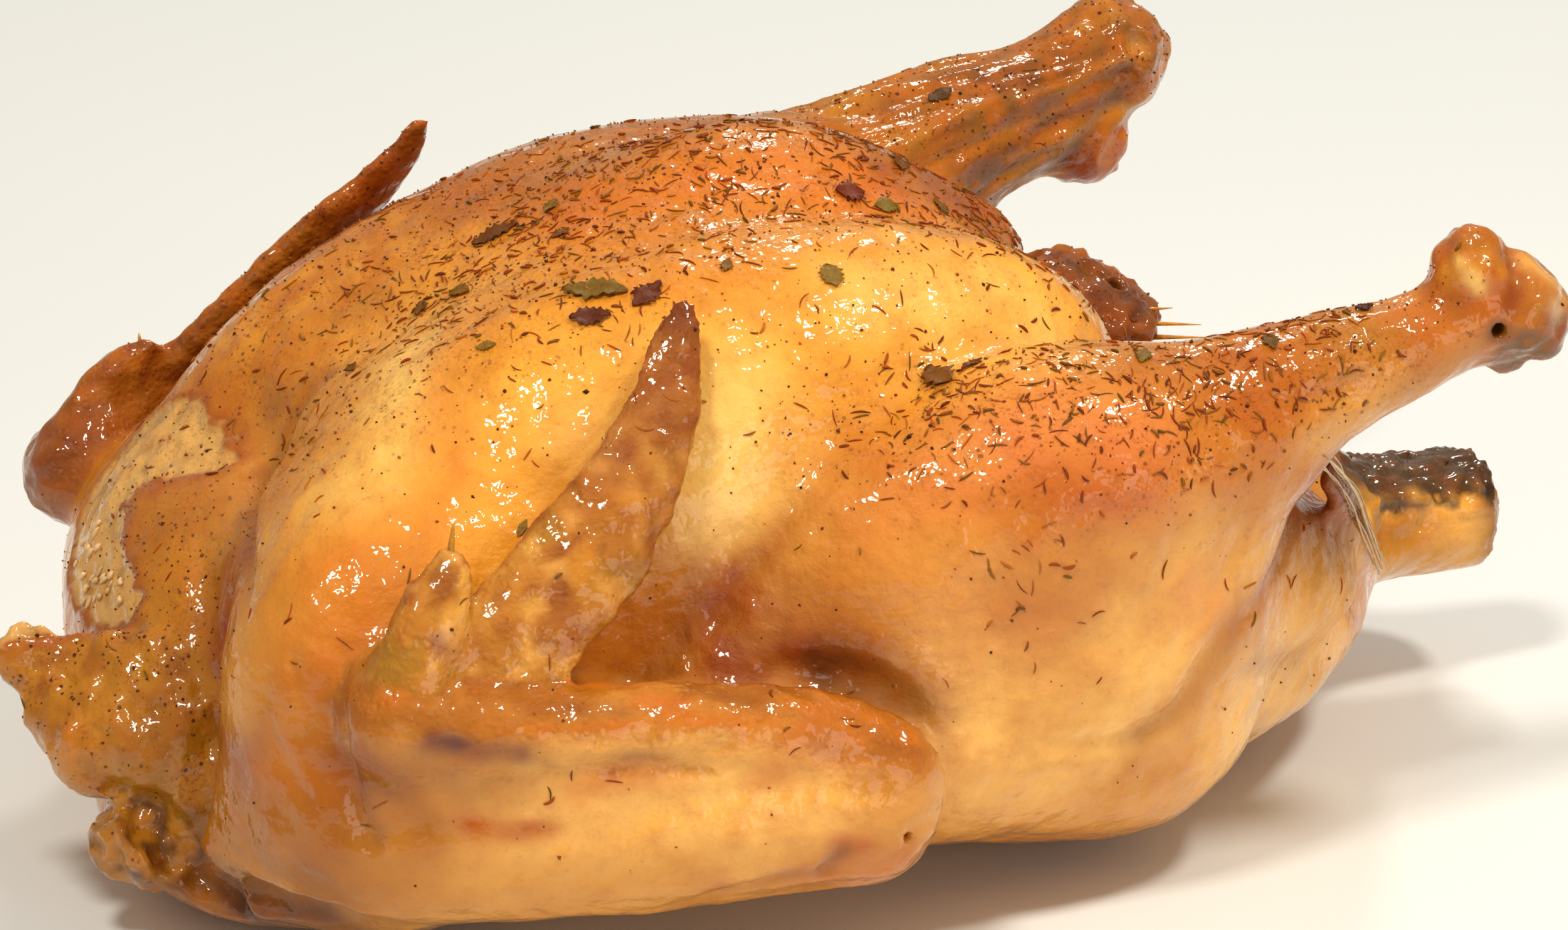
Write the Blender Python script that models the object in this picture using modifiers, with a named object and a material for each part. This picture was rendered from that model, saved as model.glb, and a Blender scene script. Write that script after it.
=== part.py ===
"""A small whole roast turkey, lying on its back with its breast up.

The bird is one solid: torso, two legs, two folded wings, tail, the flap of neck skin, the neck
stump and the crust at the vent all grow out of each other. It is built from overlapping rounded
masses and tapered limbs, which are fused into one skin, smoothed, and cut flat where the bird
rests.

Frame, in metres: +X runs from the neck to the tail, +Z is up, and the bird's right side (its left
as seen from above with the neck away) lies at -Y. The origin is on the table, at the middle of the
bird's length and width.
"""
from math import radians

import bmesh
import bpy
from mathutils import Euler, Matrix, Vector

OBJECT_NAME = "roast_turkey"
NODE_NAME = "turkey"

# Where the table and the middle of the length lie among the masses below.
TABLE_HEIGHT = 0.0035
MIDDLE = (-0.0028, 0.0)

# Torso: back, rump and the low broad part of the back that spreads on the table.
BACK = ((-0.030, 0.0, 0.062), (0.138, 0.078, 0.060), (0, 0, 0))
RUMP = ((0.070, 0.0, 0.058), (0.090, 0.066, 0.050), (0, 4, 0))
LOWER_BACK = ((0.058, 0.0, 0.043), (0.101, 0.084, 0.041), (0, 0, 0))
SHOULDERS = ((-0.138, 0.0, 0.052), (0.046, 0.072, 0.040), (0, 0, 0))
FORE_BACK = ((-0.150, 0.0, 0.028), (0.036, 0.058, 0.024), (0, 0, 0))

# Breast: one rounded half on each side of the keel, lower towards the neck.
BREAST_CENTRE = (-0.046, 0.031, 0.097)
BREAST_RADII = (0.122, 0.060, 0.064)
BREAST_PITCH = -9
BREAST_SPLAY = 4
KEEL = [(-0.112, 0.0, 0.102, 0.032), (-0.060, 0.0, 0.124, 0.037), (0.000, 0.0, 0.131, 0.038),
        (0.046, 0.0, 0.110, 0.032)]

# Legs: the thigh, the skin between hip and rump, and the drumstick with its radius at each station.
THIGH_CENTRE = (0.030, 0.082, 0.071)
THIGH_RADII = (0.070, 0.043, 0.056)
THIGH_PITCH = -8
THIGH_SPLAY = -6
NEAR_DRUMSTICK = [(-0.012, -0.088, 0.100, 0.0220), (0.022, -0.096, 0.110, 0.0310),
                  (0.060, -0.101, 0.117, 0.0245), (0.095, -0.104, 0.127, 0.0175),
                  (0.122, -0.107, 0.135, 0.0140), (0.140, -0.108, 0.141, 0.0125)]
FAR_DRUMSTICK = [(-0.012, 0.088, 0.100, 0.0220), (0.022, 0.096, 0.110, 0.0300),
                 (0.060, 0.101, 0.117, 0.0245), (0.095, 0.105, 0.126, 0.0195),
                 (0.120, 0.108, 0.131, 0.0180), (0.138, 0.110, 0.139, 0.0145)]
# The two knobs of bare gristle at the end of each drumstick.
NEAR_KNOBS = [((0.1315, -0.108, 0.1505), (0.0105, 0.0115, 0.0105), (0, 0, 0)),
              ((0.1440, -0.108, 0.1380), (0.0140, 0.0150, 0.0140), (0, 0, 0))]
FAR_KNOBS = [((0.1435, 0.112, 0.1410), (0.0150, 0.0150, 0.0155), (0, 0, 0)),
             ((0.1330, 0.106, 0.1190), (0.0135, 0.0115, 0.0110), (0, 0, 0))]

# Wings, folded back: upper arm and forearm lie along the side, the hand stands against the breast.
SHOULDER = (-0.136, 0.078, 0.048, 0.030)
UPPER_ARM = (-0.090, 0.100, 0.049, 0.027)
ELBOW = (-0.030, 0.119, 0.050, 0.0205)
FOREARM = (-0.080, 0.112, 0.064, 0.019)
WRIST_RADIUS = 0.0135
WING_WEB_CENTRE = (-0.060, 0.082, 0.052)
WING_WEB_RADII = (0.062, 0.024, 0.026)
WING_WEB_SPLAY = 20
HAND = [(-0.114, 0.084, 0.104, 0.0165), (-0.080, 0.076, 0.135, 0.0110)]
HAND_TIP_RADIUS = 0.0045
THUMB = [(-0.141, 0.093, 0.098, 0.0080), (-0.136, 0.091, 0.110, 0.0045)]
NEAR_WRIST = (-0.147, 0.094, 0.079)
FAR_WRIST = (-0.155, 0.088, 0.079)
NEAR_HAND_TIP = (-0.0590, 0.0700, 0.1555)
FAR_HAND_TIP = (-0.0670, 0.0700, 0.1610)

# Tail, neck skin, neck stump and the crusted flap above the vent.
TAIL = [(0.125, 0.0, 0.050, 0.0290), (0.156, 0.0, 0.048, 0.0190), (0.186, 0.0, 0.046, 0.0140)]
NECK_SKIN = ((-0.176, 0.0, 0.053), (0.022, 0.032, 0.018), (0, -25, 0))
NECK_SKIN_TIP = [(-0.180, 0.0, 0.060, 0.014), (-0.200, 0.0, 0.0695, 0.006)]
NECK_STUMP = ((-0.178, -0.028, 0.026), (0.014, 0.015, 0.010), (0, 0, 0))
VENT_FLAP = ((0.088, 0.014, 0.110), (0.018, 0.026, 0.011), (0, 20, 0))

# Resolution of the fused skin.
FUSE_VOXEL = 0.0034
SMOOTHING_PASSES = 8
KEPT_FACES = 0.13
SPHERE_SEGMENTS = 40
LIMB_SIDES = 6
CUTTER_SIZE = 0.6


def clear_scene():
    for thing in list(bpy.data.objects):
        bpy.data.objects.remove(thing)


def new_collection(name):
    collection = bpy.data.collections.new(name)
    bpy.context.scene.collection.children.link(collection)
    return collection


def mirrored(place, side):
    """A point or station given for the +Y side, moved to the given side (-1 or 1)."""
    return (place[0], place[1] * side, *place[2:])


def add_ellipsoid(skin, centre, radii, turn=(0, 0, 0)):
    shape = Matrix.LocRotScale(Vector(centre), Euler([radians(angle) for angle in turn]), Vector(radii))
    bmesh.ops.create_uvsphere(skin, u_segments=SPHERE_SEGMENTS, v_segments=SPHERE_SEGMENTS // 2,
                              radius=1.0, matrix=shape)


def add_limb(skin, stations):
    """A tapered round limb through stations of x, y, z and radius, with a ball at each end."""
    curve = bpy.data.curves.new("limb", "CURVE")
    curve.dimensions = "3D"
    curve.bevel_depth = 1.0
    curve.bevel_resolution = LIMB_SIDES
    curve.use_fill_caps = True
    spline = curve.splines.new("BEZIER")
    spline.bezier_points.add(len(stations) - 1)
    for point, (x, y, z, radius) in zip(spline.bezier_points, stations):
        point.co = (x, y, z)
        point.radius = radius
        point.handle_left_type = "AUTO"
        point.handle_right_type = "AUTO"
    guide = bpy.data.objects.new("limb", curve)
    bpy.context.scene.collection.objects.link(guide)
    evaluated = guide.evaluated_get(bpy.context.evaluated_depsgraph_get())
    tube = bpy.data.meshes.new_from_object(evaluated)
    bpy.data.objects.remove(guide)
    skin.from_mesh(tube)
    for x, y, z, radius in (stations[0], stations[-1]):
        add_ellipsoid(skin, (x, y, z), (radius, radius, radius))


def add_torso(skin):
    for mass in (BACK, RUMP, LOWER_BACK, SHOULDERS, FORE_BACK, NECK_SKIN, NECK_STUMP, VENT_FLAP):
        add_ellipsoid(skin, *mass)
    for side in (-1, 1):
        turn = (0, BREAST_PITCH, BREAST_SPLAY * side)
        add_ellipsoid(skin, mirrored(BREAST_CENTRE, side), BREAST_RADII, turn)
    for stations in (KEEL, TAIL, NECK_SKIN_TIP):
        add_limb(skin, stations)


def add_leg(skin, side, drumstick, knobs):
    turn = (0, THIGH_PITCH, THIGH_SPLAY * side)
    add_ellipsoid(skin, mirrored(THIGH_CENTRE, side), THIGH_RADII, turn)
    add_limb(skin, drumstick)
    for knob in knobs:
        add_ellipsoid(skin, *knob)


def add_wing(skin, side, wrist, hand_tip):
    """Upper arm, forearm, hand and thumb, with the web of skin that joins the arm to the side."""
    turn = (0, 0, WING_WEB_SPLAY * side)
    add_ellipsoid(skin, mirrored(WING_WEB_CENTRE, side), WING_WEB_RADII, turn)
    wrist_station = mirrored((*wrist, WRIST_RADIUS), side)
    elbow = mirrored(ELBOW, side)
    add_limb(skin, [mirrored(SHOULDER, side), mirrored(UPPER_ARM, side), elbow])
    add_limb(skin, [elbow, mirrored(FOREARM, side), wrist_station])
    fingers = [mirrored(station, side) for station in HAND]
    add_limb(skin, [wrist_station, *fingers, mirrored((*hand_tip, HAND_TIP_RADIUS), side)])
    add_limb(skin, [wrist_station, *[mirrored(station, side) for station in THUMB]])


def make_skin_material():
    material = bpy.data.materials.new("roast_skin")
    material.use_nodes = True
    shader = material.node_tree.nodes["Principled BSDF"]
    shader.inputs["Base Color"].default_value = (0.66, 0.36, 0.11, 1.0)
    shader.inputs["Roughness"].default_value = 0.35
    shader.inputs["Metallic"].default_value = 0.0
    return material


def make_table_cutter(collection):
    """A block whose top is the table: it trims the underside flat."""
    mesh = bpy.data.meshes.new("table_cutter")
    block = bmesh.new()
    bmesh.ops.create_cube(block, size=CUTTER_SIZE)
    block.to_mesh(mesh)
    block.free()
    cutter = bpy.data.objects.new("table_cutter", mesh)
    cutter.location = (0.0, 0.0, -CUTTER_SIZE / 2)
    cutter.hide_render = True
    cutter.display_type = "WIRE"
    collection.objects.link(cutter)
    return cutter


def make_turkey(collection, cutter):
    skin = bmesh.new()
    add_torso(skin)
    add_leg(skin, -1, NEAR_DRUMSTICK, NEAR_KNOBS)
    add_leg(skin, 1, FAR_DRUMSTICK, FAR_KNOBS)
    add_wing(skin, -1, NEAR_WRIST, NEAR_HAND_TIP)
    add_wing(skin, 1, FAR_WRIST, FAR_HAND_TIP)
    bmesh.ops.remove_doubles(skin, verts=skin.verts, dist=0.00001)
    mesh = bpy.data.meshes.new(NODE_NAME)
    skin.to_mesh(mesh)
    skin.free()
    mesh.materials.append(make_skin_material())
    turkey = bpy.data.objects.new(NODE_NAME, mesh)
    turkey.location = (-MIDDLE[0], -MIDDLE[1], -TABLE_HEIGHT)
    collection.objects.link(turkey)

    fuse = turkey.modifiers.new("fuse", "REMESH")
    fuse.mode = "VOXEL"
    fuse.voxel_size = FUSE_VOXEL
    soften = turkey.modifiers.new("soften", "SMOOTH")
    soften.factor = 0.5
    soften.iterations = SMOOTHING_PASSES
    thin = turkey.modifiers.new("thin", "DECIMATE")
    thin.ratio = KEPT_FACES
    trim = turkey.modifiers.new("trim", "BOOLEAN")
    trim.operation = "DIFFERENCE"
    trim.solver = "EXACT"
    trim.object = cutter
    return turkey


clear_scene()
make_turkey(new_collection(OBJECT_NAME), make_table_cutter(new_collection("cutters")))
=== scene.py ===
"""A small roast turkey, breast up, with browned oily skin, dried dill and leaf bits on it.

The bird's skin is one mesh that stands for the CAD solid: rounded masses and tapered limbs are
blended in a grid of signed distances, the grid's surface is taken with OpenVDB, and folds,
wrinkles and pimples are pressed into it. Colours come from spots and lines placed in the bird's
own frame; the finest grain is in the materials.
"""

import bpy
import numpy as np
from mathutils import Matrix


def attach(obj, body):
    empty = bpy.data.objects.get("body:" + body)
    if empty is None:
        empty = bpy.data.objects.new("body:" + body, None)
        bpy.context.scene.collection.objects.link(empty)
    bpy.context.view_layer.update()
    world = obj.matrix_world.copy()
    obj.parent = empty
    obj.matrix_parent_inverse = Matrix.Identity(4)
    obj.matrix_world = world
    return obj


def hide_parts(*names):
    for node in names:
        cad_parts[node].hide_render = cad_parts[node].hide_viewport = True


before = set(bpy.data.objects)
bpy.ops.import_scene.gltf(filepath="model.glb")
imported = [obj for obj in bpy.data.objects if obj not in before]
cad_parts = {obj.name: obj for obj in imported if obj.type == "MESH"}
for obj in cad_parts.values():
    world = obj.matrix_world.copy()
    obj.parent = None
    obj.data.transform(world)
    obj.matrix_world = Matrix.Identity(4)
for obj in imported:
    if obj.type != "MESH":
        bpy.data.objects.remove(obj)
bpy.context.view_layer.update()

import openvdb
from mathutils import Matrix, Vector
from mathutils.bvhtree import BVHTree

# ---------------------------------------------------------------------------
# Places. The bird is described in its own frame, with the table at TABLE_HEIGHT; TO_ROW moves it
# into the CAD's frame. +X is towards the tail, +Z up, and the near side is -Y.
# Tables of places, blends of masses, and what is given to ellipsoid, limb, nearness and add_rod,
# are in millimetres. Arrays of points, and all else, are in metres.
# ---------------------------------------------------------------------------
PER_METRE = 1000.0
TABLE_HEIGHT = 0.0035
TO_ROW = np.array([0.0028, 0.0, -TABLE_HEIGHT])
NEAR, FAR = -1, 1
GRID_LOW = (-0.225, -0.158, -0.012)
GRID_HIGH = (0.215, 0.158, 0.185)
VOXEL = 0.00125
EMPTY = 0.05
ADD_MARGIN, CUT_MARGIN = 0.006, 0.002
BREAST_SOFTNESS = 0.0022


# --- signed distances -------------------------------------------------------
class Shape:
    """A distance function and the box that holds its surface."""

    def __init__(self, low, high, distance):
        self.low = np.asarray(low, float)
        self.high = np.asarray(high, float)
        self.distance = distance


def metres(lengths):
    """Millimetres, as an array in metres."""
    return np.asarray(lengths, float) / PER_METRE


def turn_matrix(turn):
    """Rotation about X, then Y, then Z, in degrees."""
    cx, cy, cz = np.cos(np.radians(turn))
    sx, sy, sz = np.sin(np.radians(turn))
    about_x = np.array([[1, 0, 0], [0, cx, -sx], [0, sx, cx]])
    about_y = np.array([[cy, 0, sy], [0, 1, 0], [-sy, 0, cy]])
    about_z = np.array([[cz, -sz, 0], [sz, cz, 0], [0, 0, 1]])
    return about_z @ about_y @ about_x


def ellipsoid(centre, radii, turn=(0, 0, 0)):
    centre, radii, turned = metres(centre), metres(radii), turn_matrix(turn)
    reach = np.sqrt((turned ** 2) @ (radii ** 2))

    def distance(p):
        q = ((p - centre.astype(p.dtype)) @ turned.astype(p.dtype)) / radii.astype(p.dtype)
        inside = np.sqrt((q * q).sum(-1))
        q /= radii.astype(p.dtype)
        slope = np.sqrt((q * q).sum(-1)) + 1e-9
        return inside * (inside - 1.0) / slope

    return Shape(centre - reach, centre + reach, distance)


def smooth_path(points, steps):
    """Catmull-Rom through the points, any number of columns."""
    p = np.asarray(points, float)
    if len(p) < 3:
        t = np.linspace(0, 1, steps + 1)[:, None]
        return p[0] * (1 - t) + p[-1] * t
    ends = np.vstack([2 * p[0] - p[1], p, 2 * p[-1] - p[-2]])
    t = np.linspace(0, 1, steps, endpoint=False)[:, None]
    runs = []
    for a, b, c, d in zip(ends, ends[1:], ends[2:], ends[3:]):
        runs.append(0.5 * (2 * b + (c - a) * t + (2 * a - 5 * b + 4 * c - d) * t ** 2
                           + (3 * b - a - 3 * c + d) * t ** 3))
    return np.vstack([*runs, p[-1:]])


def limb(stations, flat=1.0, across=None, steps=6):
    """A round limb through stations of x, y, z, radius; flat thins it along the direction across."""
    path = smooth_path(metres(stations), steps)
    places, radii = path[:, :3], path[:, 3]
    low, high = (places - radii[:, None]).min(0), (places + radii[:, None]).max(0)
    squeeze = np.eye(3)
    if across is not None:
        normal = np.asarray(across, float) / np.linalg.norm(across)
        squeeze = squeeze + (1 / flat - 1) * np.outer(normal, normal)
    ends = places @ squeeze

    def distance(p):
        q = p @ squeeze.astype(p.dtype)
        best = None
        for a, b, ra, rb in zip(ends, ends[1:], radii, radii[1:]):
            along = (b - a).astype(p.dtype)
            w = q - a.astype(p.dtype)
            t = np.clip((w @ along) / (along @ along + 1e-12), 0, 1)
            w -= t[..., None] * along
            d = np.sqrt((w * w).sum(-1)) - (ra + (rb - ra) * t).astype(p.dtype)
            best = d if best is None else np.minimum(best, d)
        return best * p.dtype.type(flat ** 0.5)

    return Shape(low, high, distance)


def smooth_min(a, b, blend):
    if blend <= 0:
        return np.minimum(a, b)
    near = np.maximum(blend - np.abs(a - b), 0) / blend
    return np.minimum(a, b) - near * near * (blend / 4)


class Grid:
    """Signed distances on a box of voxels; shapes are added to it or cut from it with soft edges."""

    def __init__(self, low, high, voxel):
        self.low, self.voxel = np.asarray(low, float), voxel
        self.count = np.ceil((np.asarray(high) - self.low) / voxel).astype(int) + 1
        self.values = np.full(self.count, EMPTY, np.float32)

    def window(self, shape, margin):
        first = np.floor((shape.low - margin - self.low) / self.voxel).astype(int)
        last = np.ceil((shape.high + margin - self.low) / self.voxel).astype(int) + 1
        first, last = np.clip(first, 0, self.count), np.clip(last, 0, self.count)
        axes = [(self.low[i] + self.voxel * np.arange(first[i], last[i])).astype(np.float32)
                for i in range(3)]
        points = np.stack(np.meshgrid(*axes, indexing="ij"), -1)
        return tuple(slice(a, b) for a, b in zip(first, last)), points

    def add(self, shape, blend=0.0):
        window, points = self.window(shape, blend + ADD_MARGIN)
        self.values[window] = smooth_min(self.values[window], shape.distance(points), blend)

    def soften(self, size):
        """Blurs the distances over about the size, which rounds creases off."""
        for _ in range(round(2 * (size / self.voxel) ** 2)):
            for axis in range(3):
                middle = [slice(None)] * 3
                middle[axis] = slice(1, -1)
                before = np.roll(self.values, 1, axis)
                after = np.roll(self.values, -1, axis)
                blurred = 0.25 * (before + after) + 0.5 * self.values
                self.values[tuple(middle)] = blurred[tuple(middle)]

    def stand_on(self, height):
        """Cuts away what is below the height."""
        heights = self.low[2] + self.voxel * np.arange(self.count[2])
        self.values = np.maximum(self.values, (height - heights).astype(np.float32))

    def cut(self, shape, blend=0.0):
        window, points = self.window(shape, blend + CUT_MARGIN)
        self.values[window] = -smooth_min(-self.values[window], shape.distance(points), blend)


def mirrored(place, side):
    """A point or station given for the far side, moved to the given side."""
    return (place[0], place[1] * side, *place[2:])


# --- the bird's masses ------------------------------------------------------
# Limbs are stations of x, y, z, radius; an ankle is two knobs, each with its middle and its radii.
NEAR_LEG = {
    "drumstick": [(-12, -88, 100, 22), (22, -96, 110, 31), (60, -101, 117, 23), (93, -104, 127.5, 15.8),
        (120, -107, 135, 12.2), (140, -108, 141, 11.5)],
    "ankle": [((131.5, -108, 150.5), (10, 11, 10)), ((144, -108, 138), (12.5, 14.5, 13))],
}
FAR_LEG = {
    "drumstick": [(-12, 88, 98, 22), (22, 96, 109, 30), (60, 101, 116, 24), (95, 105, 126, 19),
        (120, 108, 131, 17), (138, 110, 139, 14)],
    "ankle": [((143, 112, 141), (13.5, 14.5, 14.5)), ((132, 106, 119.5), (12, 11, 10))],
}
NEAR_WING = {
    "upper_arm": [(-138, -78, 47, 29), (-90, -101, 48, 26.5), (-34, -120, 46, 19.5)],
    "forearm": [(-32, -126, 57, 13), (-50, -124, 67, 11.2), (-85, -118, 72, 10.8),
        (-113, -112, 73.5, 11.5), (-141, -99, 76, 13.5)],
    "blade": [(-141, -99, 77, 13), (-117, -104, 91, 15), (-97.5, -98.5, 106, 14), (-81, -92, 121.5, 11.2),
        (-68.5, -84.5, 137, 9.2), (-62, -77.5, 149, 6.6), (-59, -73, 156, 3.2)],
    "thumb": [(-141, -99, 77, 12.5), (-138, -102, 90, 10), (-133, -100, 101, 8.5),
        (-127.5, -96.5, 110, 5)],
}
FAR_WING = {
    "upper_arm": [(-124, 78, 50, 27), (-90, 101, 48, 26.5), (-34, 120, 46, 19.5)],
    "forearm": [(-32, 126, 57, 13), (-50, 124, 68, 11.2), (-85, 115, 73.5, 11.5), (-152.5, 86, 77.5, 14)],
    "blade": [(-152.5, 86, 77.5, 13), (-127, 97, 88, 15.2), (-109, 92, 105, 15.2), (-93, 85, 124, 13),
        (-80, 78, 140.5, 9.5), (-71, 73, 153, 6.2), (-67.5, 70, 160.5, 3)],
    "thumb": [(-152.5, 86, 77.5, 13), (-149, 90, 87, 10.5), (-141, 91, 97, 8.5), (-134, 90, 104, 4.5)],
}
SIDES = (("near", NEAR, NEAR_LEG, NEAR_WING), ("far", FAR, FAR_LEG, FAR_WING))
# The way the far hand faces, which the near hand mirrors.
HAND_FACING = (-0.20, 0.86, 0.47)
HAND_AND_ARM = ("forearm", "blade", "thumb")


def torso_masses():
    back = [(0, 0, 42, 90), (45, 0, 40, 92), (78, 0, 38, 74),
            (105, 0, 40, 52), (134, 0, 44, 31), (158, 0, 45, 20)]
    return {
        "body": (ellipsoid((-30, 0, 62), (130, 74, 58)), 0),
        "belly": (ellipsoid((52, 0, 60), (82, 64, 48), (0, 6, 0)), 30),
        "back": (limb(back, flat=0.44, across=(0, 0, 1)), 12),
        "far_breast": (breast(FAR), 20),
        "neck_root": (ellipsoid((-138, 10, 62), (42, 58, 40)), 20),
        "front_lobe": (ellipsoid((-151, -20, 28), (32, 56, 23)), 10),
        "far_shoulder": (ellipsoid((-118, 58, 60), (46, 36, 40)), 14),
    }


def breast(side):
    return ellipsoid(mirrored((-45, 40, 95), side), (114, 50, 64), (0, -12, 4 * side))


def near_front_masses():
    return {
        "near_breast": (breast(NEAR), 0),
        "near_shoulder": (ellipsoid((-124, -62, 70), (47, 35, 50), (0, 12, 8)), 20),
        "near_chest": (ellipsoid((-128, -60, 38), (43, 33, 29)), 14),
    }


def keel_masses():
    keel = [(-105, 0, 108, 20), (-55, 0, 135, 22), (-5, 0, 150, 23),
            (45, 0, 131, 18)]
    return {"keel": (limb(keel, steps=12), 0)}


def leg_masses(name, side, leg):
    front = ellipsoid(mirrored((-10, 80, 74), side), (48, 35, 42), (0, 30, 0))
    low_front = ellipsoid(mirrored((-24, 80, 55), side), (54, 34, 33), (0, 12, 0))
    thigh = ellipsoid(mirrored((30, 82, 73), side), (66, 43, 54), (0, -8, -6 * side))
    under = ellipsoid(mirrored((48, 76, 38), side), (38, 34, 26))
    web = [mirrored(station, side) for station in
           ((71, 104, 112, 12), (66, 102, 94, 12), (57, 100, 76, 14))]
    inner = ellipsoid(mirrored((90, 52, 70), side), (38, 40, 24), (0, 25, 0))
    stretched = [mirrored(station, side) for station in
                 ((86, 110, 110, 4), (100, 95, 100, 3.4),
                  (114, 79, 86, 3.4), (126, 62, 70, 4.4),
                  (137, 42, 54, 6), (146, 20, 50, 8))]
    sideways = mirrored((0.38, 0.86, -0.34), side)
    masses = {
        f"{name}_leg_front": (front, 0),
        f"{name}_leg_low_front": (low_front, 16),
        f"{name}_thigh": (thigh, 20),
        f"{name}_under_thigh": (under, 16),
        f"{name}_drumstick": (limb(leg["drumstick"], steps=10), 18),
        f"{name}_leg_web": (limb(web), 14),
        f"{name}_hollow": (inner, 18),
        f"{name}_stretched_skin": (limb(stretched, 0.6, sideways), 10),
    }
    for place, knob in enumerate(leg["ankle"]):
        masses[f"{name}_ankle_{place}"] = (ellipsoid(*knob), 7)
    return masses


def wing_masses(name, side, wing):
    facing = mirrored(HAND_FACING, side)
    return {
        f"{name}_upper_arm": (limb(wing["upper_arm"], steps=12), 12),
        f"{name}_forearm": (limb(wing["forearm"], steps=12), 11),
        f"{name}_blade": (limb(wing["blade"], 0.36, facing, 8), 3),
        f"{name}_thumb": (limb(wing["thumb"], 0.60, facing, 8), 3),
    }


def end_masses():
    tail = [(130, 0, 51, 21), (160, 0, 48, 17.5), (190, 0, 46, 15)]
    neck_flap = [(-160, -36, 56, 21), (-176, -26, 55, 21),
                 (-188, -12, 59, 15), (-199, -3, 70, 6)]
    return {
        "tail": (limb(tail), 8),
        "neck_flap": (limb(neck_flap, 0.42, (-0.40, -0.75, 0.45)), 5),
        "neck_stump": (ellipsoid((-181, -34, 29), (12, 12, 10)), 3),
        "vent_flap": (ellipsoid((88, 14, 110), (18, 26, 11), (0, 20, 0)), 10),
    }


def bird_groups():
    """Groups of masses, each with how softly it joins the groups before it.

    A mass has its shape, and how wide it blends into those before it in its own group.
    """
    legs, wings = {}, {}
    for name, side, leg, wing in SIDES:
        legs.update(leg_masses(name, side, leg))
        wings.update(wing_masses(name, side, wing))
    return ((0, torso_masses()), (7, near_front_masses()), (26, keel_masses()),
            (7, legs), (6, wings), (6, end_masses()))


def bird_shapes():
    return {name: shape for _, masses in bird_groups() for name, (shape, _) in masses.items()}


# Deep folds: stations of x, y, z, radius for the groove, and its soft edge.
ELBOW_GAP = [(-52, -108, 78, 3), (-37, -114, 75, 5), (-26, -120, 70, 5.2), (-18, -126, 62, 4),
    (-12, -126, 50, 2.8)]
KEEL_FOLD = [(-171, -49, 36, 4), (-168, -46, 53, 4.6), (-165, -45, 70, 3.8), (-160, -41, 88, 2)]
UNDER_WING_FOLD = [(-164, -72, 24, 5), (-156, -86, 22, 6), (-140, -100, 16, 5), (-120, -112, 10, 4)]
NECK_HOLLOW = [(-186, -36, 42, 4), (-179, -44, 33, 6), (-170, -56, 20, 7)]
ELBOW_HOLE = [(-31, -146, 44, 1.4), (-30, -130, 44, 1.2)]
VENT = [(88, 14, 124, 2), (89, 4, 115, 3.8), (92, -6, 106, 3)]
THIGH_HOLLOW = [(92, -108, 105, 4.5), (96, -98, 96, 7.5), (91, -103, 88, 6.2), (78, -113, 80, 3),
    (66, -119, 74, 1.2)]
ANKLE_HOLE = [(131.5, -127, 138.5, 1.8), (133.5, -115, 139.5, 1.4)]
DEEP_FOLDS = ((ELBOW_GAP, 4), (KEEL_FOLD, 5), (UNDER_WING_FOLD, 5), (NECK_HOLLOW, 4), (ELBOW_HOLE, 1),
              (VENT, 4), (THIGH_HOLLOW, 3), (ANKLE_HOLE, 1))


def build_bird(voxel):
    grid = Grid(GRID_LOW, GRID_HIGH, voxel)
    for soft, masses in bird_groups():
        group = Grid(GRID_LOW, GRID_HIGH, voxel)
        for shape, blend in masses.values():
            group.add(shape, blend / PER_METRE)
        grid.values = smooth_min(grid.values, group.values, soft / PER_METRE)
        if "keel" in masses:
            grid.soften(BREAST_SOFTNESS)
    for groove, soft in DEEP_FOLDS:
        grid.cut(limb(groove, steps=4), soft / PER_METRE)
    grid.stand_on(TABLE_HEIGHT)
    return grid


# --- the skin's surface -----------------------------------------------------
SKIN_TRIANGLES = 195000
LATTICE_PRIMES = (374761393, 668265263, 2147483647, 1274126177)


def lattice(cells, seed):
    """A value from -1 to 1 for each whole-numbered cell."""
    x, y, z = (cells[..., i].astype(np.uint64) for i in range(3))
    mixed = x * LATTICE_PRIMES[0] + y * LATTICE_PRIMES[1] + z * LATTICE_PRIMES[2] + seed * 144665
    mixed = ((mixed ^ (mixed >> 13)) * LATTICE_PRIMES[3]) & 0xffffffff
    return ((mixed ^ (mixed >> 16)) & 0xffff).astype(np.float32) / 32767.5 - 1


def noise(points, size, seed=0, octaves=1):
    """Smooth noise from about -1 to 1, with features of the given size."""
    total, share, reached = 0.0, 1.0, 0.0
    for octave in range(octaves):
        place = points / (size * 0.5 ** octave) + 1000.37
        cell = np.floor(place)
        part = place - cell
        part = part * part * (3 - 2 * part)
        cell = cell.astype(np.int64)
        value = 0.0
        for corner in np.ndindex(2, 2, 2):
            weight = np.prod(np.where(corner, part, 1 - part), axis=-1)
            value = value + weight * lattice(cell + np.array(corner), seed + octave)
        total, reached, share = total + share * value, reached + share, share * 0.5
    return (1.5 * total / reached).astype(np.float32)


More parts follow.
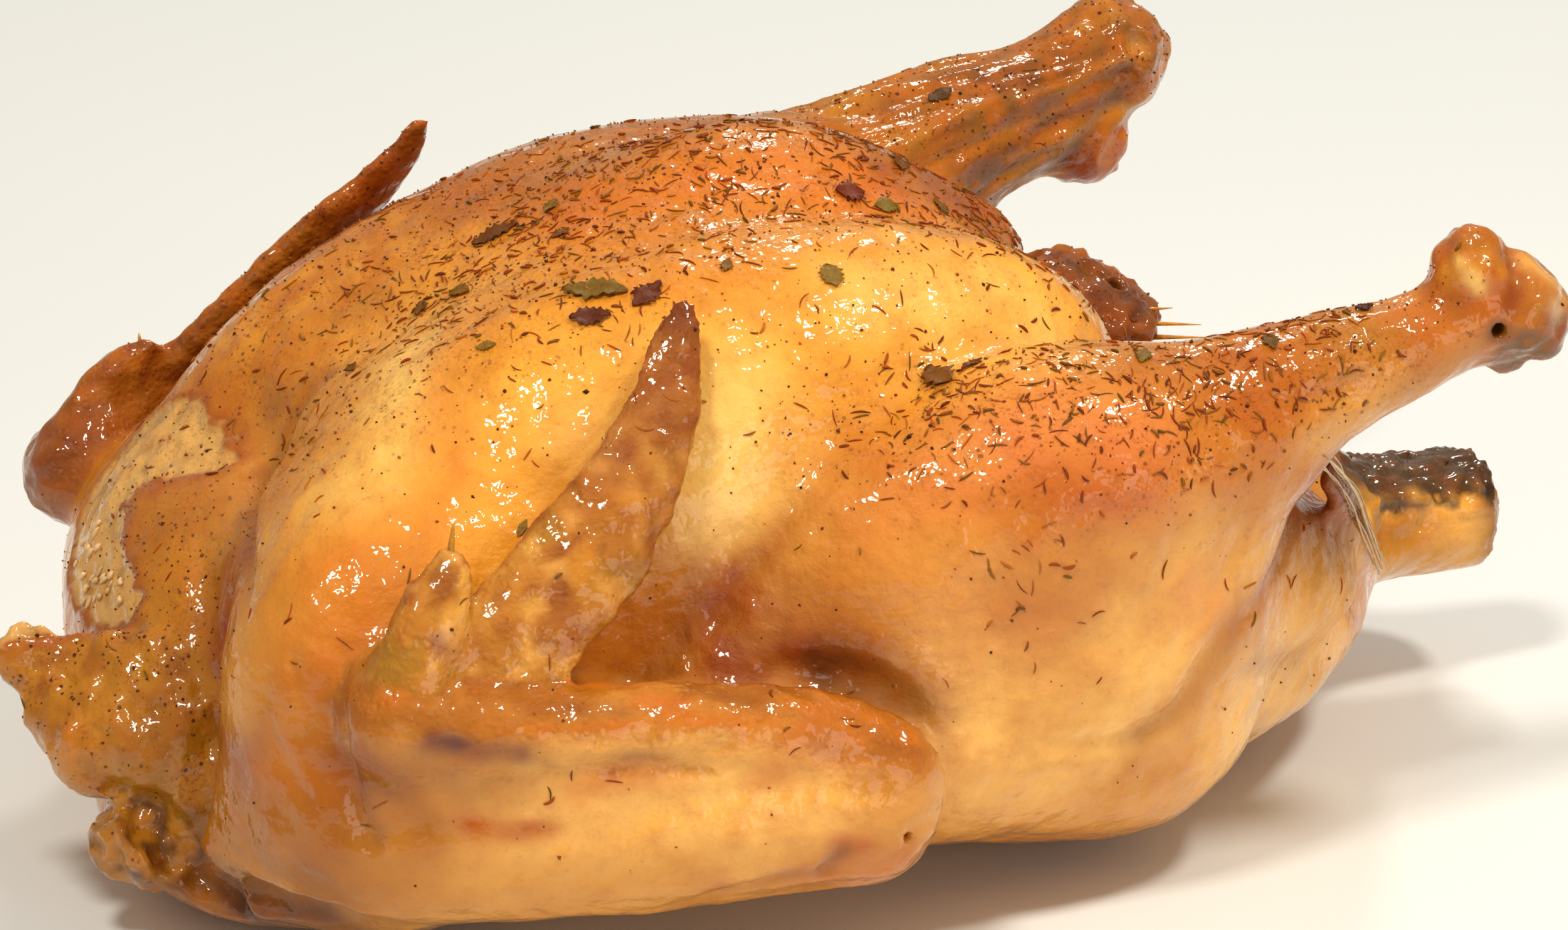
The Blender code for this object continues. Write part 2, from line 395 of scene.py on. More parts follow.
def nearness(points, places, width, steps=5):
    """1 on the line through the places, fading to 0 over the width; a fourth column scales it."""
    places = np.array([tuple(place) if len(place) == 4 else (*place, 1) for place in places], float)
    places[:, :3] /= PER_METRE
    width = width / PER_METRE
    path = smooth_path(places, steps) if len(places) > 2 else places
    reach = 2.4 * width
    low, high = path[:, :3].min(0) - reach, path[:, :3].max(0) + reach
    index = np.flatnonzero(((points > low) & (points < high)).all(1))
    near, best, strength = points[index], np.full(len(index), 1e9), np.zeros(len(index))
    for a, b in zip(path, path[1:] if len(path) > 1 else path):
        along = b[:3] - a[:3]
        t = np.clip((near - a[:3]) @ along / (along @ along + 1e-12), 0, 1)
        away = np.linalg.norm(near - a[:3] - t[:, None] * along, axis=1)
        closer = away < best
        best[closer] = away[closer]
        strength[closer] = (a[3] + (b[3] - a[3]) * t)[closer]
    weight = np.zeros(len(points))
    weight[index] = strength * np.exp(-(best / width) ** 2)
    return weight


def mesh_from(name, points, faces, smooth=True):
    """A mesh object from arrays; faces is an N x 3 or N x 4 array, or a list of both."""
    groups = faces if isinstance(faces, list) else [faces]
    corners = np.concatenate([group.ravel() for group in groups]).astype(np.int32)
    sizes = np.concatenate([np.full(len(group), group.shape[1]) for group in groups])
    starts = np.concatenate([[0], np.cumsum(sizes)[:-1]]).astype(np.int32)
    mesh = bpy.data.meshes.new(name)
    mesh.vertices.add(len(points))
    mesh.vertices.foreach_set("co", np.asarray(points, np.float32).ravel())
    mesh.loops.add(len(corners))
    mesh.loops.foreach_set("vertex_index", corners)
    mesh.polygons.add(len(starts))
    mesh.polygons.foreach_set("loop_start", starts)
    mesh.update(calc_edges=True)
    mesh.validate()
    if smooth:
        mesh.shade_smooth()
    piece = bpy.data.objects.new(name, mesh)
    bpy.context.scene.collection.objects.link(piece)
    return piece


def points_of(mesh):
    flat = np.empty(len(mesh.vertices) * 3, np.float32)
    mesh.vertices.foreach_get("co", flat)
    return flat.reshape(-1, 3).astype(float)


def normals_of(mesh):
    flat = np.empty(len(mesh.vertices) * 3, np.float32)
    mesh.vertex_normals.foreach_get("vector", flat)
    return flat.reshape(-1, 3).astype(float)


def skin_from(grid):
    volume = openvdb.FloatGrid(EMPTY)
    volume.copyFromArray(grid.values)
    points, quads = volume.convertToQuads(isovalue=0.0)
    points = points * grid.voxel + grid.low
    return mesh_from("turkey_skin", points, quads)


def applied(piece):
    """Replaces the piece's mesh by what its modifiers make of it."""
    evaluated = piece.evaluated_get(bpy.context.evaluated_depsgraph_get())
    mesh = bpy.data.meshes.new_from_object(evaluated)
    piece.modifiers.clear()
    piece.data = mesh
    return mesh


FAR_ANKLE_RING = [(139, 99, 149), (142, 101, 152), (147, 99, 148), (148, 98, 143), (144, 96, 141),
    (139, 96, 144), (139, 99, 149)]
# Shallow folds, each with its depth, its width and its line. A negative depth is a ridge.
FOLDS = {
    "leg and breast": (1.2, 3, [(4, -103, 132, 0.2), (-18, -99, 121, 1), (-42, -91, 103, 1),
        (-68, -95, 80, 1)]),
    "thigh crease": (2.2, 3.4, [(62, -119, 78, 0.3), (54, -120, 64, 1), (49, -119, 56, 1),
        (39, -120, 52, 1), (25, -122, 52, 0.6), (12, -122, 52, 0)]),
    "thigh arc": (1.1, 1.9, [(4, -122, 61, 0), (8, -121, 52, 1), (12, -119, 46, 1), (16, -117, 42, 0)]),
    "thigh skin fold": (1, 2.6, [(46, -124, 118, 0), (44, -125, 101, 1), (38, -127, 88, 0)]),
    "second thigh fold": (1.1, 2.4, [(64, -121, 113, 0), (65, -119, 98, 1), (56, -122, 83, 0.4),
        (50, -123, 74, 0)]),
    "rump wrinkle": (0.9, 2.4, [(51, -121, 60, 0), (74, -110, 56, 1), (110, -69, 40, 0)]),
    "under the drumstick": (1.5, 3, [(98, -118, 134, 0), (90, -120, 130, 1), (75, -121, 128, 0.2)]),
    "tail hollow": (3, 6, [(158, -22, 50, 1), (166, -18, 47, 0.7)]),
    "tail rim": (-1.2, 2, [(146, -17, 61, 0.5), (167, -15, 56, 1), (184, -12, 52, 0.6)]),
    "ankle notch": (2.4, 2.6, [(141, -110, 156, 1), (139, -117, 151, 1), (135, -120, 145, 0.3)]),
    "ankle tendon": (-1.4, 1.8, [(122, -114, 158, 0), (126, -116, 154, 1), (128, -118, 149, 0.2)]),
    "cut bone": (1.8, 5, [(126, -116, 130, 0.6), (140, -117, 129, 1)]),
    "far ankle cap": (2.2, 2.6, [(143, 97, 147, 1)]),
    "far ankle ring": (-1.2, 1.6, FAR_ANKLE_RING),
    "far ankle folds": (1.6, 2.4, [(118, 92, 133, 0.4), (128, 94, 131, 1), (140, 97, 131, 1)]),
    "elbow notch": (2, 2.6, [(-49, -134, 36, 1), (-47, -136, 43, 0.3)]),
    "elbow slit": (1.6, 2, [(-76, -124, 30, 0.3), (-66, -130, 33, 1), (-56, -134, 37, 0.2)]),
    "under the blade": (1.8, 5, [(-112, -104, 88, 0.2), (-98, -104, 90, 1), (-80, -100, 94, 0.8),
        (-70, -94, 100, 0)]),
    "breast bulge": (-1.8, 6, [(-90, -94, 98, 0.6), (-76, -94, 98, 1), (-66, -92, 106, 0.4)]),
    "skin ridge": (-1.2, 2.6, [(-83, -103, 83, 0), (-66, -103, 86, 1), (-52, -100, 96, 0.6),
        (-44, -98, 104, 0)]),
    "upper arm crease": (1.6, 2.2, [(-132, -116, 65, 0.3), (-109, -124, 67, 1), (-80, -131, 66, 1),
        (-55, -136, 62, 0.4)]),
    "wrist edge": (2.2, 2.2, [(-150, -93, 96, 0.2), (-153.5, -92, 88, 1), (-155.5, -98, 78, 1),
        (-154.5, -99, 66, 1), (-152.5, -102, 54, 0.6), (-148, -106, 46, 0)]),
    "shoulder crease": (1.8, 2.8, [(-156, -100, 66, 0.4), (-153, -104, 56, 1), (-150, -104, 48, 0.6),
        (-148, -104, 40, 0)]),
    "inner pocket": (2.4, 4, [(-158, -14, 93, 0.4), (-162, -26, 85, 1), (-166, -34, 76, 0.8)]),
    "pocket rim": (-1.2, 2.2, [(-172, -14, 86, 0.5), (-175, -20, 78, 1), (-173, -30, 70, 0.6)]),
    "front pocket": (1.6, 2.4, [(-163, -17, 95, 0), (-162, -30, 99, 1), (-163, -40, 92, 1),
        (-166, -43, 80, 0.4)]),
    "breast edge": (1.6, 2.2, [(-121, -3, 126, 0.3), (-131, -3, 115, 1), (-141, -8, 104, 1),
        (-153, -35, 102, 1), (-163, -59, 96, 0.6), (-168, -69, 85, 0)]),
    "breast lip": (-1, 2.2, [(-127, -14, 122, 0.4), (-141, -24, 110, 1), (-152, -46, 104, 1),
        (-160, -66, 95, 0.4)]),
    "lobe rim": (-1.4, 2.2, [(-180, -36, 37, 0.3), (-174, -45, 34, 1), (-169, -66, 34, 1),
        (-164, -82, 32, 1), (-157, -94, 30, 0.3)]),
    "under the lobe": (3, 4.5, [(-174, -45, 26, 0.6), (-170, -62, 26, 1), (-163, -75, 24, 1),
        (-155, -88, 22, 0.6)]),
    "shoulder wrinkle": (0.9, 2, [(-165, -77, 88, 0), (-166, -80, 72, 1), (-163, -88, 60, 1),
        (-158, -98, 52, 0)]),
    "second wrinkle": (0.8, 1.8, [(-158, -76, 96, 0), (-160, -83, 86, 1), (-159, -88, 74, 0)]),
    "front arc": (1.4, 2.2, [(-163, -58, 68, 0), (-161, -66, 67, 1), (-158, -76, 69, 1),
        (-154, -73, 75, 0.8), (-154, -61, 80, 0)]),
}


def flowing(points, direction, stretch):
    """Points squeezed along a direction, so that noise at them runs along it in streaks."""
    direction = np.asarray(direction, float) / np.linalg.norm(direction)
    along = points @ direction
    return points - np.outer(along * (1 - 1 / stretch), direction)


def covered(points, shape, reach):
    """1 on a mass and 0 further from it than the reach."""
    away = np.full(len(points), reach, np.float32)
    index = np.flatnonzero(((points > shape.low - reach) & (points < shape.high + reach)).all(1))
    away[index] = shape.distance(points[index].astype(np.float32))
    t = np.clip(1 - away / reach, 0, 1)
    return t * t * (3 - 2 * t)


# Directions along which the skin and the meat are streaked.
ALONG_UPPER_ARM = (0.9, -0.3, 0.0)
ALONG_FOREARM = (0.93, -0.34, -0.05)
ALONG_HAND = (0.75, 0.05, 0.65)
ALONG_FAR_DRUMSTICK = (0.95, 0.09, 0.2)
ALONG_SINEWS = (0, 0.6, 0.8)


def hand_cover(points, shapes, name):
    """1 on the hand and thumb of a wing."""
    return np.maximum(covered(points, shapes[f"{name}_blade"], 0.003),
                      covered(points, shapes[f"{name}_thumb"], 0.003))


def wing_cover(points, shapes):
    """1 on the forearm, hand and thumb of both wings."""
    return np.clip(sum(covered(points, shapes[f"{name}_{part}"], 0.004)
                       for name, *_ in SIDES for part in HAND_AND_ARM), 0, 1)


def knob_covers(points, shapes):
    """For each knob of the ankles, its number in its ankle and 1 on the knob."""
    for name, *_ in SIDES:
        for place in (0, 1):
            yield place, covered(points, shapes[f"{name}_ankle_{place}"], 0.004)


def sinews(points):
    return noise(flowing(points, ALONG_SINEWS, 4), 0.003, 42, 2)


# Outline on the bird's front, in y and z: where the skin has shrunk back from the meat.
BARE_MEAT = [(24, 112), (12, 109), (4, 105), (11, 101), (19, 98), (21, 93), (11, 89), (1, 85), (-10, 81),
    (-11, 74), (4, 69), (27, 72), (46, 80), (50, 92), (44, 105), (34, 113)]


def inside(places, outline):
    """How far inside a closed outline in the plane each place is; negative outside."""
    corners = np.asarray(outline, float)
    best, within = np.full(len(places), 1e9), np.zeros(len(places), bool)
    for a, b in zip(corners, np.roll(corners, -1, 0)):
        along = b - a
        t = np.clip((places - a) @ along / (along @ along), 0, 1)
        best = np.minimum(best, np.linalg.norm(places - a - t[:, None] * along, axis=1))
        crosses = (a[1] > places[:, 1]) != (b[1] > places[:, 1])
        rise = np.where(b[1] == a[1], 1e-9, b[1] - a[1])
        within ^= crosses & (places[:, 0] < a[0] + (places[:, 1] - a[1]) * along[0] / rise)
    return np.where(within, best, -best)


def bare_meat(points):
    """How far inside the bare patch each point is, with a ragged edge."""
    depth = inside(points[:, 1:], metres(BARE_MEAT)) + 0.0014 * noise(points, 0.0030, 41, 2)
    return np.where(points[:, 0] < -0.125, depth, -1.0)


TAIL_START, TAIL_CUT, TAIL_TOP, TAIL_HALF_WIDTH = 0.150, 0.1890, 0.0590, 0.03


def square_off_tail(points):
    """The tail is cut off square, and burnt flat on top."""
    jag = 0.0010 * noise(points, 0.0035, 35, 2)
    within = np.abs(points[:, 1]) < TAIL_HALF_WIDTH
    past = np.clip(points[:, 0] - TAIL_CUT, 0, None) * within
    points[:, 0] -= past * 0.62 - jag * (past > 0)
    above = np.clip(points[:, 2] - TAIL_TOP, 0, None) * (points[:, 0] > TAIL_START)
    above *= within & (points[:, 2] < 0.075)
    above *= np.clip((points[:, 0] - TAIL_START) / 0.012, 0, 1)
    points[:, 2] -= 0.60 * above - jag * (above > 0)


def press_relief(piece, shapes):
    """Folds, waves and lumps, moved along the surface's own directions."""
    mesh = piece.data
    points, normals = points_of(mesh), normals_of(mesh)
    height = 0.0006 * noise(points, 0.030, 1, 2) + 0.00035 * noise(points, 0.009, 2, 2)
    for depth, width, line in FOLDS.values():
        height -= depth / PER_METRE * nearness(points, line, width)
    wing = wing_cover(points, shapes)
    height += wing * (0.0005 * noise(points, 0.0085, 3, 2) + 0.0003 * noise(points, 0.0036, 4))
    for name, side, _, _ in SIDES:
        facing = np.array(mirrored(HAND_FACING, side))
        edge = hand_cover(points, shapes, name) * np.clip(1 - 1.6 * np.abs(normals @ facing), 0, 1)
        height += edge * (0.0009 * noise(points, 0.0042, 31) - 0.0002)
    arm = sum(covered(points, shapes[f"{name}_upper_arm"], 0.006) for name, *_ in SIDES)
    streaks = flowing(points, ALONG_UPPER_ARM, 4.0)
    height += np.clip(arm, 0, 1) * 0.0007 * noise(streaks, 0.008, 5, 2)
    # Dried skin in long ridges on the far drumstick.
    dried = covered(points, shapes["far_drumstick"], 0.004) * (points[:, 0] > 0.045)
    ridges = flowing(points, ALONG_FAR_DRUMSTICK, 9.0)
    height += dried * (0.0011 * noise(ridges, 0.0050, 6) + 0.0012 * noise(ridges, 0.0027, 33))
    depth = bare_meat(points)
    height -= 0.0013 * np.clip(depth / 0.0012 + 0.5, 0, 1)
    height += 0.0007 * np.clip(depth / 0.002, 0, 1) * sinews(points)
    # Ragged neck skin, crusted flap above the vent, charred top of the tail.
    neck = covered(points, shapes["neck_flap"], 0.004)
    height += neck * (0.0016 * noise(points, 0.010, 7) + 0.0011 * noise(points, 0.0045, 8, 2))
    rough = covered(points, shapes["vent_flap"], 0.005)
    rough = np.maximum(rough, covered(points, shapes["neck_stump"], 0.005))
    height += rough * (0.0020 * noise(points, 0.0075, 9, 3) + 0.0009 * noise(points, 0.0028, 34))
    tail = covered(points, shapes["tail"], 0.004) * (points[:, 0] > 0.150) * (normals[:, 2] > 0.2)
    height += tail * 0.0012 * noise(points, 0.004, 10, 2)
    for place, knob in knob_covers(points, shapes):
        lumps = 0.0011 * noise(points, 0.0075, 11 + place, 2) + 0.0005 * noise(points, 0.003, 36)
        height += knob * lumps
    points += normals * height[:, None]
    square_off_tail(points)
    points[:, 2] = np.maximum(points[:, 2], TABLE_HEIGHT)
    mesh.vertices.foreach_set("co", points.astype(np.float32).ravel())
    mesh.update()


def make_skin_shape(shapes):
    piece = skin_from(build_bird(VOXEL))
    press_relief(piece, shapes)
    triangles = 2 * len(piece.data.polygons)
    if triangles > SKIN_TRIANGLES:
        thinner = piece.modifiers.new("thinner", "DECIMATE")
        thinner.ratio = SKIN_TRIANGLES / triangles
        applied(piece)
    piece.data.shade_smooth()
    return piece


# --- colours of the skin ----------------------------------------------------
def tone(code):
    """A linear colour from the hex code of the colour as seen."""
    parts = np.array([int(code[i:i + 2], 16) for i in (0, 2, 4)]) / 255
    return np.where(parts <= 0.04045, parts / 12.92, ((parts + 0.055) / 1.055) ** 2.4)


TAN = tone("ce821c")
BRIGHT = tone("ffb43a")
CREAM = tone("ffd272")
PALE_GOLD = tone("ffc060")
PALE_TAN = tone("f0b052")
ORANGE = tone("dd7412")
DEEP_ORANGE = tone("bc5a04")
RED_ORANGE = tone("b43e06")
PINK = tone("ea8a40")
SHADE = tone("8a3408")
BROWN = tone("94500a")
DARK_BROWN = tone("4a1e04")
CHAR = tone("1a0c05")
RED_BROWN = tone("843006")
OLIVE = tone("98720e")
GREY_BROWN = tone("966424")
PURPLE_BROWN = tone("683020")
MEAT = tone("e0ae62")
YELLOW = tone("da961c")
HAND = tone("be7c24")
RUMP_GOLD = tone("f0ac44")
# painted shade for the hollow at the tail's base
TAIL_HOLLOW_SHADE = tone("96560c")
LOBE_BROWN = tone("a8660a")
LOBE_TAN = tone("b8740e")
TIP_BROWN = tone("8a3406")
FOREARM = tone("b06614")
# painted shade for the far wing's lower parts
LOW_WING_SHADE = tone("7c3a0c")
DRIED_SKIN = tone("9a6612")
DRIED_STREAK = tone("5a3206")
GLASSY_AMBER = tone("b45402")
ANKLE = tone("a85a10")
# painted shade for the underside of the near ankle's knob
ANKLE_UNDERSIDE_SHADE = tone("6a4216")
BONE = tone("d8b48c")
# painted shade for the hollows behind the thighs
HOLLOW_SHADE = tone("7a3806")
NECK = tone("b87c18")
STUMP = tone("b87c22")
CRUST = tone("6a2404")
LIGHT_CRUST = tone("a05408")
CRISP = tone("c06808")
TORN_EDGE = tone("9a4a10")
CRISP_SPECK = tone("8a4315")
SPICE_SPECK = tone("4a1f0a")
QUILL = tone("e0a838")
QUILL_FLESH = tone("d89a2c")
STRAND = tone("f0b868")
STRETCHED_SKIN = tone("f2b868")
FIBRE = tone("f0cc96")

# Patches: colour, strength, width, and the places along a line; a fourth number scales the strength.
PATCHES = (
    # The near breast, bright along its middle, and its scorched lines.
    (BRIGHT, 0.95, 32, [(-121, -74, 119), (-93, -65, 135), (-62, -70, 145), (-35, -78, 138),
        (0, -75, 147), (36, -67, 141)]),
    (CREAM, 0.90, 19, [(-56, -87, 114), (-52, -84, 130)]),
    (CREAM, 0.70, 14, [(-135, -60, 118), (-122, -50, 129), (-106, -24, 140)]),
    (CREAM, 0.55, 13, [(-6, -68, 151), (14, -68, 149), (34, -70, 140)]),
    (CREAM, 0.45, 10, [(-86, -75, 133), (-78, -82, 128)]),
    (ORANGE, 0.50, 9, [(-98, -30, 144), (-110, -55, 132), (-125, -78, 113)]),
    (ORANGE, 0.70, 14, [(-142, -79, 107), (-148, -84, 94), (-152, -82, 84)]),
    (ORANGE, 0.35, 12, [(-60, -50, 155), (-35, -55, 153)]),
    (BRIGHT, 0.60, 18, [(-92, 2, 146), (-68, -10, 156)]),
    (ORANGE, 0.75, 18, [(-60, -6, 161), (-11, -20, 167), (22, -24, 161)]),
    (DEEP_ORANGE, 0.35, 18, [(-126, 0, 125), (-87, 9, 149), (-60, 2, 160)]),
    (DEEP_ORANGE, 0.55, 10, [(-66, -91, 91), (-80, -94, 90)]),
    (SHADE, 0.85, 6, [(-97, -102, 83), (-86, -97, 83), (-74, -98, 83)]),
    (SHADE, 0.75, 6, [(-76, -97, 82), (-62, -97, 80), (-54, -92, 96)]),
    (PALE_TAN, 0.60, 4, [(-72, -104, 83), (-60, -101, 88), (-46, -98, 102)]),
    (RED_ORANGE, 0.70, 3, [(-2, -83, 141), (10, -82, 142), (20, -83, 140)]),
    (RED_ORANGE, 0.55, 2.2, [(-26, -84, 136), (-12, -83, 138)]),
    (RED_BROWN, 0.55, 4, [(1, -88, 135), (4, -90, 133)]),
    # The far side of the breast, crisp and brown, with painted shade along its rear edge by the vent flap.
    (BROWN, 0.25, 20, [(-150, 34, 113), (-118, 20, 140), (-93, 26, 149)]),
    (BRIGHT, 0.65, 16, [(-128, -2, 122), (-112, 0, 136), (-88, 6, 149)]),
    (BRIGHT, 0.50, 16, [(-124, 40, 132), (-100, 44, 147)]),
    (BROWN, 0.60, 18, [(-70, 34, 158), (-30, 36, 164), (10, 30, 162)]),
    (DARK_BROWN, 0.60, 8, [(-112, 10, 141), (-102, 8, 146)]),
    (DARK_BROWN, 0.55, 7, [(-134, 6, 122), (-126, 0, 127)]),
    (DARK_BROWN, 0.65, 9, [(18, 4, 166), (40, 4, 155), (52, 4, 146)]),
    (RED_BROWN, 0.60, 10, [(24, -12, 162), (40, -12, 153), (50, -20, 146)]),
    (DARK_BROWN, 0.45, 5, [(36, -30, 154), (46, -40, 147), (56, -48, 138)]),
    # painted shade along the breast's rear edge, beside the vent flap
    (BROWN, 0.60, 10, [(52, -18, 147), (66, -16, 139), (76, -20, 127)]),
    (RED_ORANGE, 0.60, 7, [(50, -10, 150), (64, -6, 142), (76, -10, 130)]),
    # The leg's front, in the shade of the folds, and the thigh.
    (SHADE, 0.65, 6, [(-70, -100, 81), (-57, -94, 89), (-46, -93, 99), (-34, -96, 110, 0.3)]),
    (SHADE, 0.90, 13, [(-56, -101, 80), (-45, -107, 81), (-33, -114, 76), (-19, -120, 68),
        (-11, -124, 56)]),
    (DARK_BROWN, 0.90, 6, [(-40, -113, 77), (-30, -118, 73), (-18, -124, 64)]),
    (DEEP_ORANGE, 0.25, 16, [(-42, -97, 104), (-30, -101, 113), (-22, -90, 125)]),
    (PALE_TAN, 0.45, 12, [(-8, -122, 80), (-14, -117, 95)]),
    (PINK, 0.85, 17, [(-7, -112, 124), (16, -118, 130), (36, -121, 126)]),
    (PINK, 0.40, 18, [(-20, -108, 108), (0, -120, 105)]),
    (DEEP_ORANGE, 0.35, 12, [(-26, -90, 124), (-20, -96, 120)]),
    (RED_ORANGE, 0.35, 14, [(24, -124, 114), (40, -125, 110)]),
    (RED_ORANGE, 0.50, 8, [(6, -124, 115), (28, -127, 113)]),
    (DEEP_ORANGE, 0.60, 10, [(6, -126, 90), (20, -127, 91)]),
    (YELLOW, 0.35, 10, [(2, -127, 103), (24, -128, 103)]),
    (PALE_GOLD, 0.85, 26, [(0, -123, 52), (22, -124, 52), (40, -123, 70)]),
    (PALE_TAN, 0.75, 14, [(48, -123, 96), (62, -119, 92), (72, -116, 84)]),
    (PINK, 0.35, 9, [(50, -122, 88), (57, -120, 79)]),
    (BROWN, 0.40, 10, [(40, -104, 141), (64, -112, 137), (85, -112, 138)]),
    # The shank.
    (DEEP_ORANGE, 0.50, 14, [(66, -116, 134), (84, -112, 139), (104, -113, 142)]),
    (RED_ORANGE, 0.40, 7, [(72, -121, 127), (84, -120, 127)]),
    (PALE_TAN, 0.65, 9, [(86, -122, 120), (100, -120, 124), (118, -118, 128)]),
    (OLIVE, 0.45, 9, [(94, -111, 143), (104, -113, 143)]),
    # The rump, the hollow under the leg's skin with painted shade on it and on the tail's base, painted
    # shade along the creases, and the tail.
    (RUMP_GOLD, 0.85, 18, [(86, -100, 58), (104, -86, 66), (124, -58, 50)]),
    (PALE_GOLD, 0.80, 18, [(70, -106, 40), (90, -88, 36), (110, -64, 34)]),
    (SHADE, 0.95, 9, [(90, -108, 104), (104, -80, 88), (112, -68, 82)]),
    # painted shade on the tail's base, at the back of the hollow
    (RED_BROWN, 0.80, 8, [(124, -40, 68), (134, -24, 62), (141, -19, 58, 0.6)]),
    (SHADE, 0.80, 6, [(88, -104, 88), (77, -113, 80), (66, -119, 73, 0.6)]),
    # painted shade along the thigh crease and the rump wrinkle
    (BROWN, 0.45, 5, [(62, -119, 70), (54, -120, 58), (40, -120, 51)]),
    (BROWN, 0.35, 4, [(74, -110, 61), (90, -94, 52), (104, -76, 46)]),
    (PALE_GOLD, 0.70, 13, [(158, -18, 50), (184, -14, 46)]),
    # painted shade in the hollow at the tail's base
    (TAIL_HOLLOW_SHADE, 0.90, 8, [(158, -20, 50), (166, -18, 46)]),
    (BRIGHT, 0.70, 3.5, [(152, -18, 58), (168, -16, 54.5), (180, -14, 52)]),
    (DARK_BROWN, 0.90, 5, [(190, -14, 54), (192, -14, 47), (191, -12, 40, 0.7)]),
    (YELLOW, 0.70, 10, [(160, -20, 40), (180, -14, 38)]),
    # Front of the bird: its brown skin, with painted shade over its lower part, in its folds and hollows,
    # and beside the wrist.
    # the front's brown skin, darkened further as painted shade over its lower part
    (BROWN, 0.60, 32, [(-160, -10, 90), (-166, -30, 70), (-164, -80, 55)]),
    (LOBE_BROWN, 0.75, 20, [(-172, -52, 40), (-166, -80, 30), (-158, -96, 22)]),
    (YELLOW, 0.45, 12, [(-170, -12, 83), (-164, -24, 82)]),
    (BROWN, 0.55, 7, [(-158, -30, 92), (-162, -34, 82), (-164, -38, 74)]),
    # dark line along the breast's edge: the edge of the crisp far side, and painted shade in the crease
    (BROWN, 0.80, 3.5, [(-121, -3, 126), (-131, -3, 115), (-141, -8, 104), (-153, -35, 102),
        (-163, -59, 96, 0.6)]),
    # painted shade under the lobe
    (DARK_BROWN, 0.90, 7, [(-174, -45, 25), (-171, -62, 25), (-163, -72, 23), (-154, -82, 20)]),
    (PALE_TAN, 0.55, 2.2, [(-174, -45, 34), (-169, -66, 34), (-164, -82, 32)]),
    (SHADE, 0.85, 11, [(-160, -41, 88), (-166, -46, 70), (-169, -47, 50)]),
    (SHADE, 0.60, 9, [(-169, -70, 60), (-168, -74, 50), (-163, -88, 42, 0.5)]),
    (PALE_TAN, 0.45, 8, [(-156, -58, 100), (-163, -66, 88), (-166, -66, 74)]),
    (ORANGE, 0.40, 8, [(-165, -84, 62), (-161, -94, 60)]),
    # painted shade in the hollow beside the neck
    (DARK_BROWN, 0.95, 11, [(-184, -40, 40), (-176, -50, 26), (-166, -60, 16)]),
    # painted shade in the fold under the wing, by the table
    (BROWN, 0.70, 8, [(-164, -72, 16), (-142, -100, 10)]),
    (LOBE_TAN, 0.65, 12, [(-169, -74, 45), (-168, -58, 34)]),
    # painted shade beside the wrist
    (BROWN, 0.40, 10, [(-157, -98, 64), (-156, -100, 54)]),
    # The near wing: pale upper arm with orange streaks, purple where the bone shows through.
    (PALE_GOLD, 0.90, 17, [(-112, -122, 57), (-90, -126, 56), (-56, -135, 54)]),
    (DARK_BROWN, 0.75, 2.4, [(-151, -92, 94), (-154.5, -95, 84), (-155, -99, 74), (-153, -101, 60),
        (-150, -104, 50)]),
    (PURPLE_BROWN, 0.85, 4, [(-139, -113.5, 77), (-131, -117, 75), (-121, -121, 73)]),
    (BROWN, 0.75, 10, [(-151, -104, 68), (-142, -109, 62), (-128, -114, 63, 0.6)]),
    (SHADE, 0.40, 8, [(-156, -98, 78), (-156, -100, 66)]),
    (DARK_BROWN, 0.55, 2.2, [(-114, -121, 71), (-100, -124, 70.5), (-86, -128, 69)]),
    (PINK, 0.60, 7, [(-54, -134, 73), (-45, -136, 70)]),
    (PURPLE_BROWN, 0.35, 4, [(-52, -134, 71), (-46, -136, 70)]),
    (ORANGE, 0.60, 6, [(-36, -135, 70), (-28, -137, 66)]),
    (ORANGE, 0.65, 4.5, [(-106, -122, 63), (-99, -123, 64)]),
    (ORANGE, 0.50, 4, [(-92, -125, 65), (-86, -127, 65)]),
    (ORANGE, 0.45, 4, [(-64, -133, 62), (-60, -134, 62)]),
    (DEEP_ORANGE, 0.85, 3, [(-130, -113, 53), (-122, -116, 52), (-113, -119, 52)]),
    (RED_ORANGE, 0.65, 3.5, [(-47, -138, 45), (-42, -139, 43)]),
    (DARK_BROWN, 0.80, 3, [(-50, -134, 36), (-47, -137, 42)]),
    (DEEP_ORANGE, 0.55, 10, [(-46, -134, 36), (-34, -136, 36)]),
    (BROWN, 0.60, 3, [(-72, -128, 31), (-56, -134, 36)]),
)
# Patches wider than this have wandering edges.
FINE_PATCH = 5

# Patches painted over the colours of one part only.
HAND_SCORCH = ((RED_BROWN, 0.70, 6, [(-78, -92, 118), (-88, -98, 106), (-96, -102, 94)]),)
FAR_SHANK_PATCHES = ((DARK_BROWN, 0.60, 10, [(100, 93, 142), (112, 94, 136)]),)
NEAR_SHANK_PATCHES = (
    (BROWN, 0.60, 9, [(112, -112, 128), (128, -112, 130)]),
    (DEEP_ORANGE, 0.70, 12, [(116, -114, 142), (127, -114, 147)]),
)
VENT_SLIT = ((CHAR, 0.85, 10, [(86, 10, 122), (90, 0, 112)]),)
# The ankles' knobs: how far past each the colour fades, its strength, and the colour.
KNOB_TONES = (("far_ankle_1", 0.004, 0.85, GLASSY_AMBER), ("far_ankle_0", 0.004, 0.65, BROWN),
              ("near_ankle_0", 0.006, 0.65, DEEP_ORANGE), ("near_ankle_1", 0.006, 0.80, ANKLE))
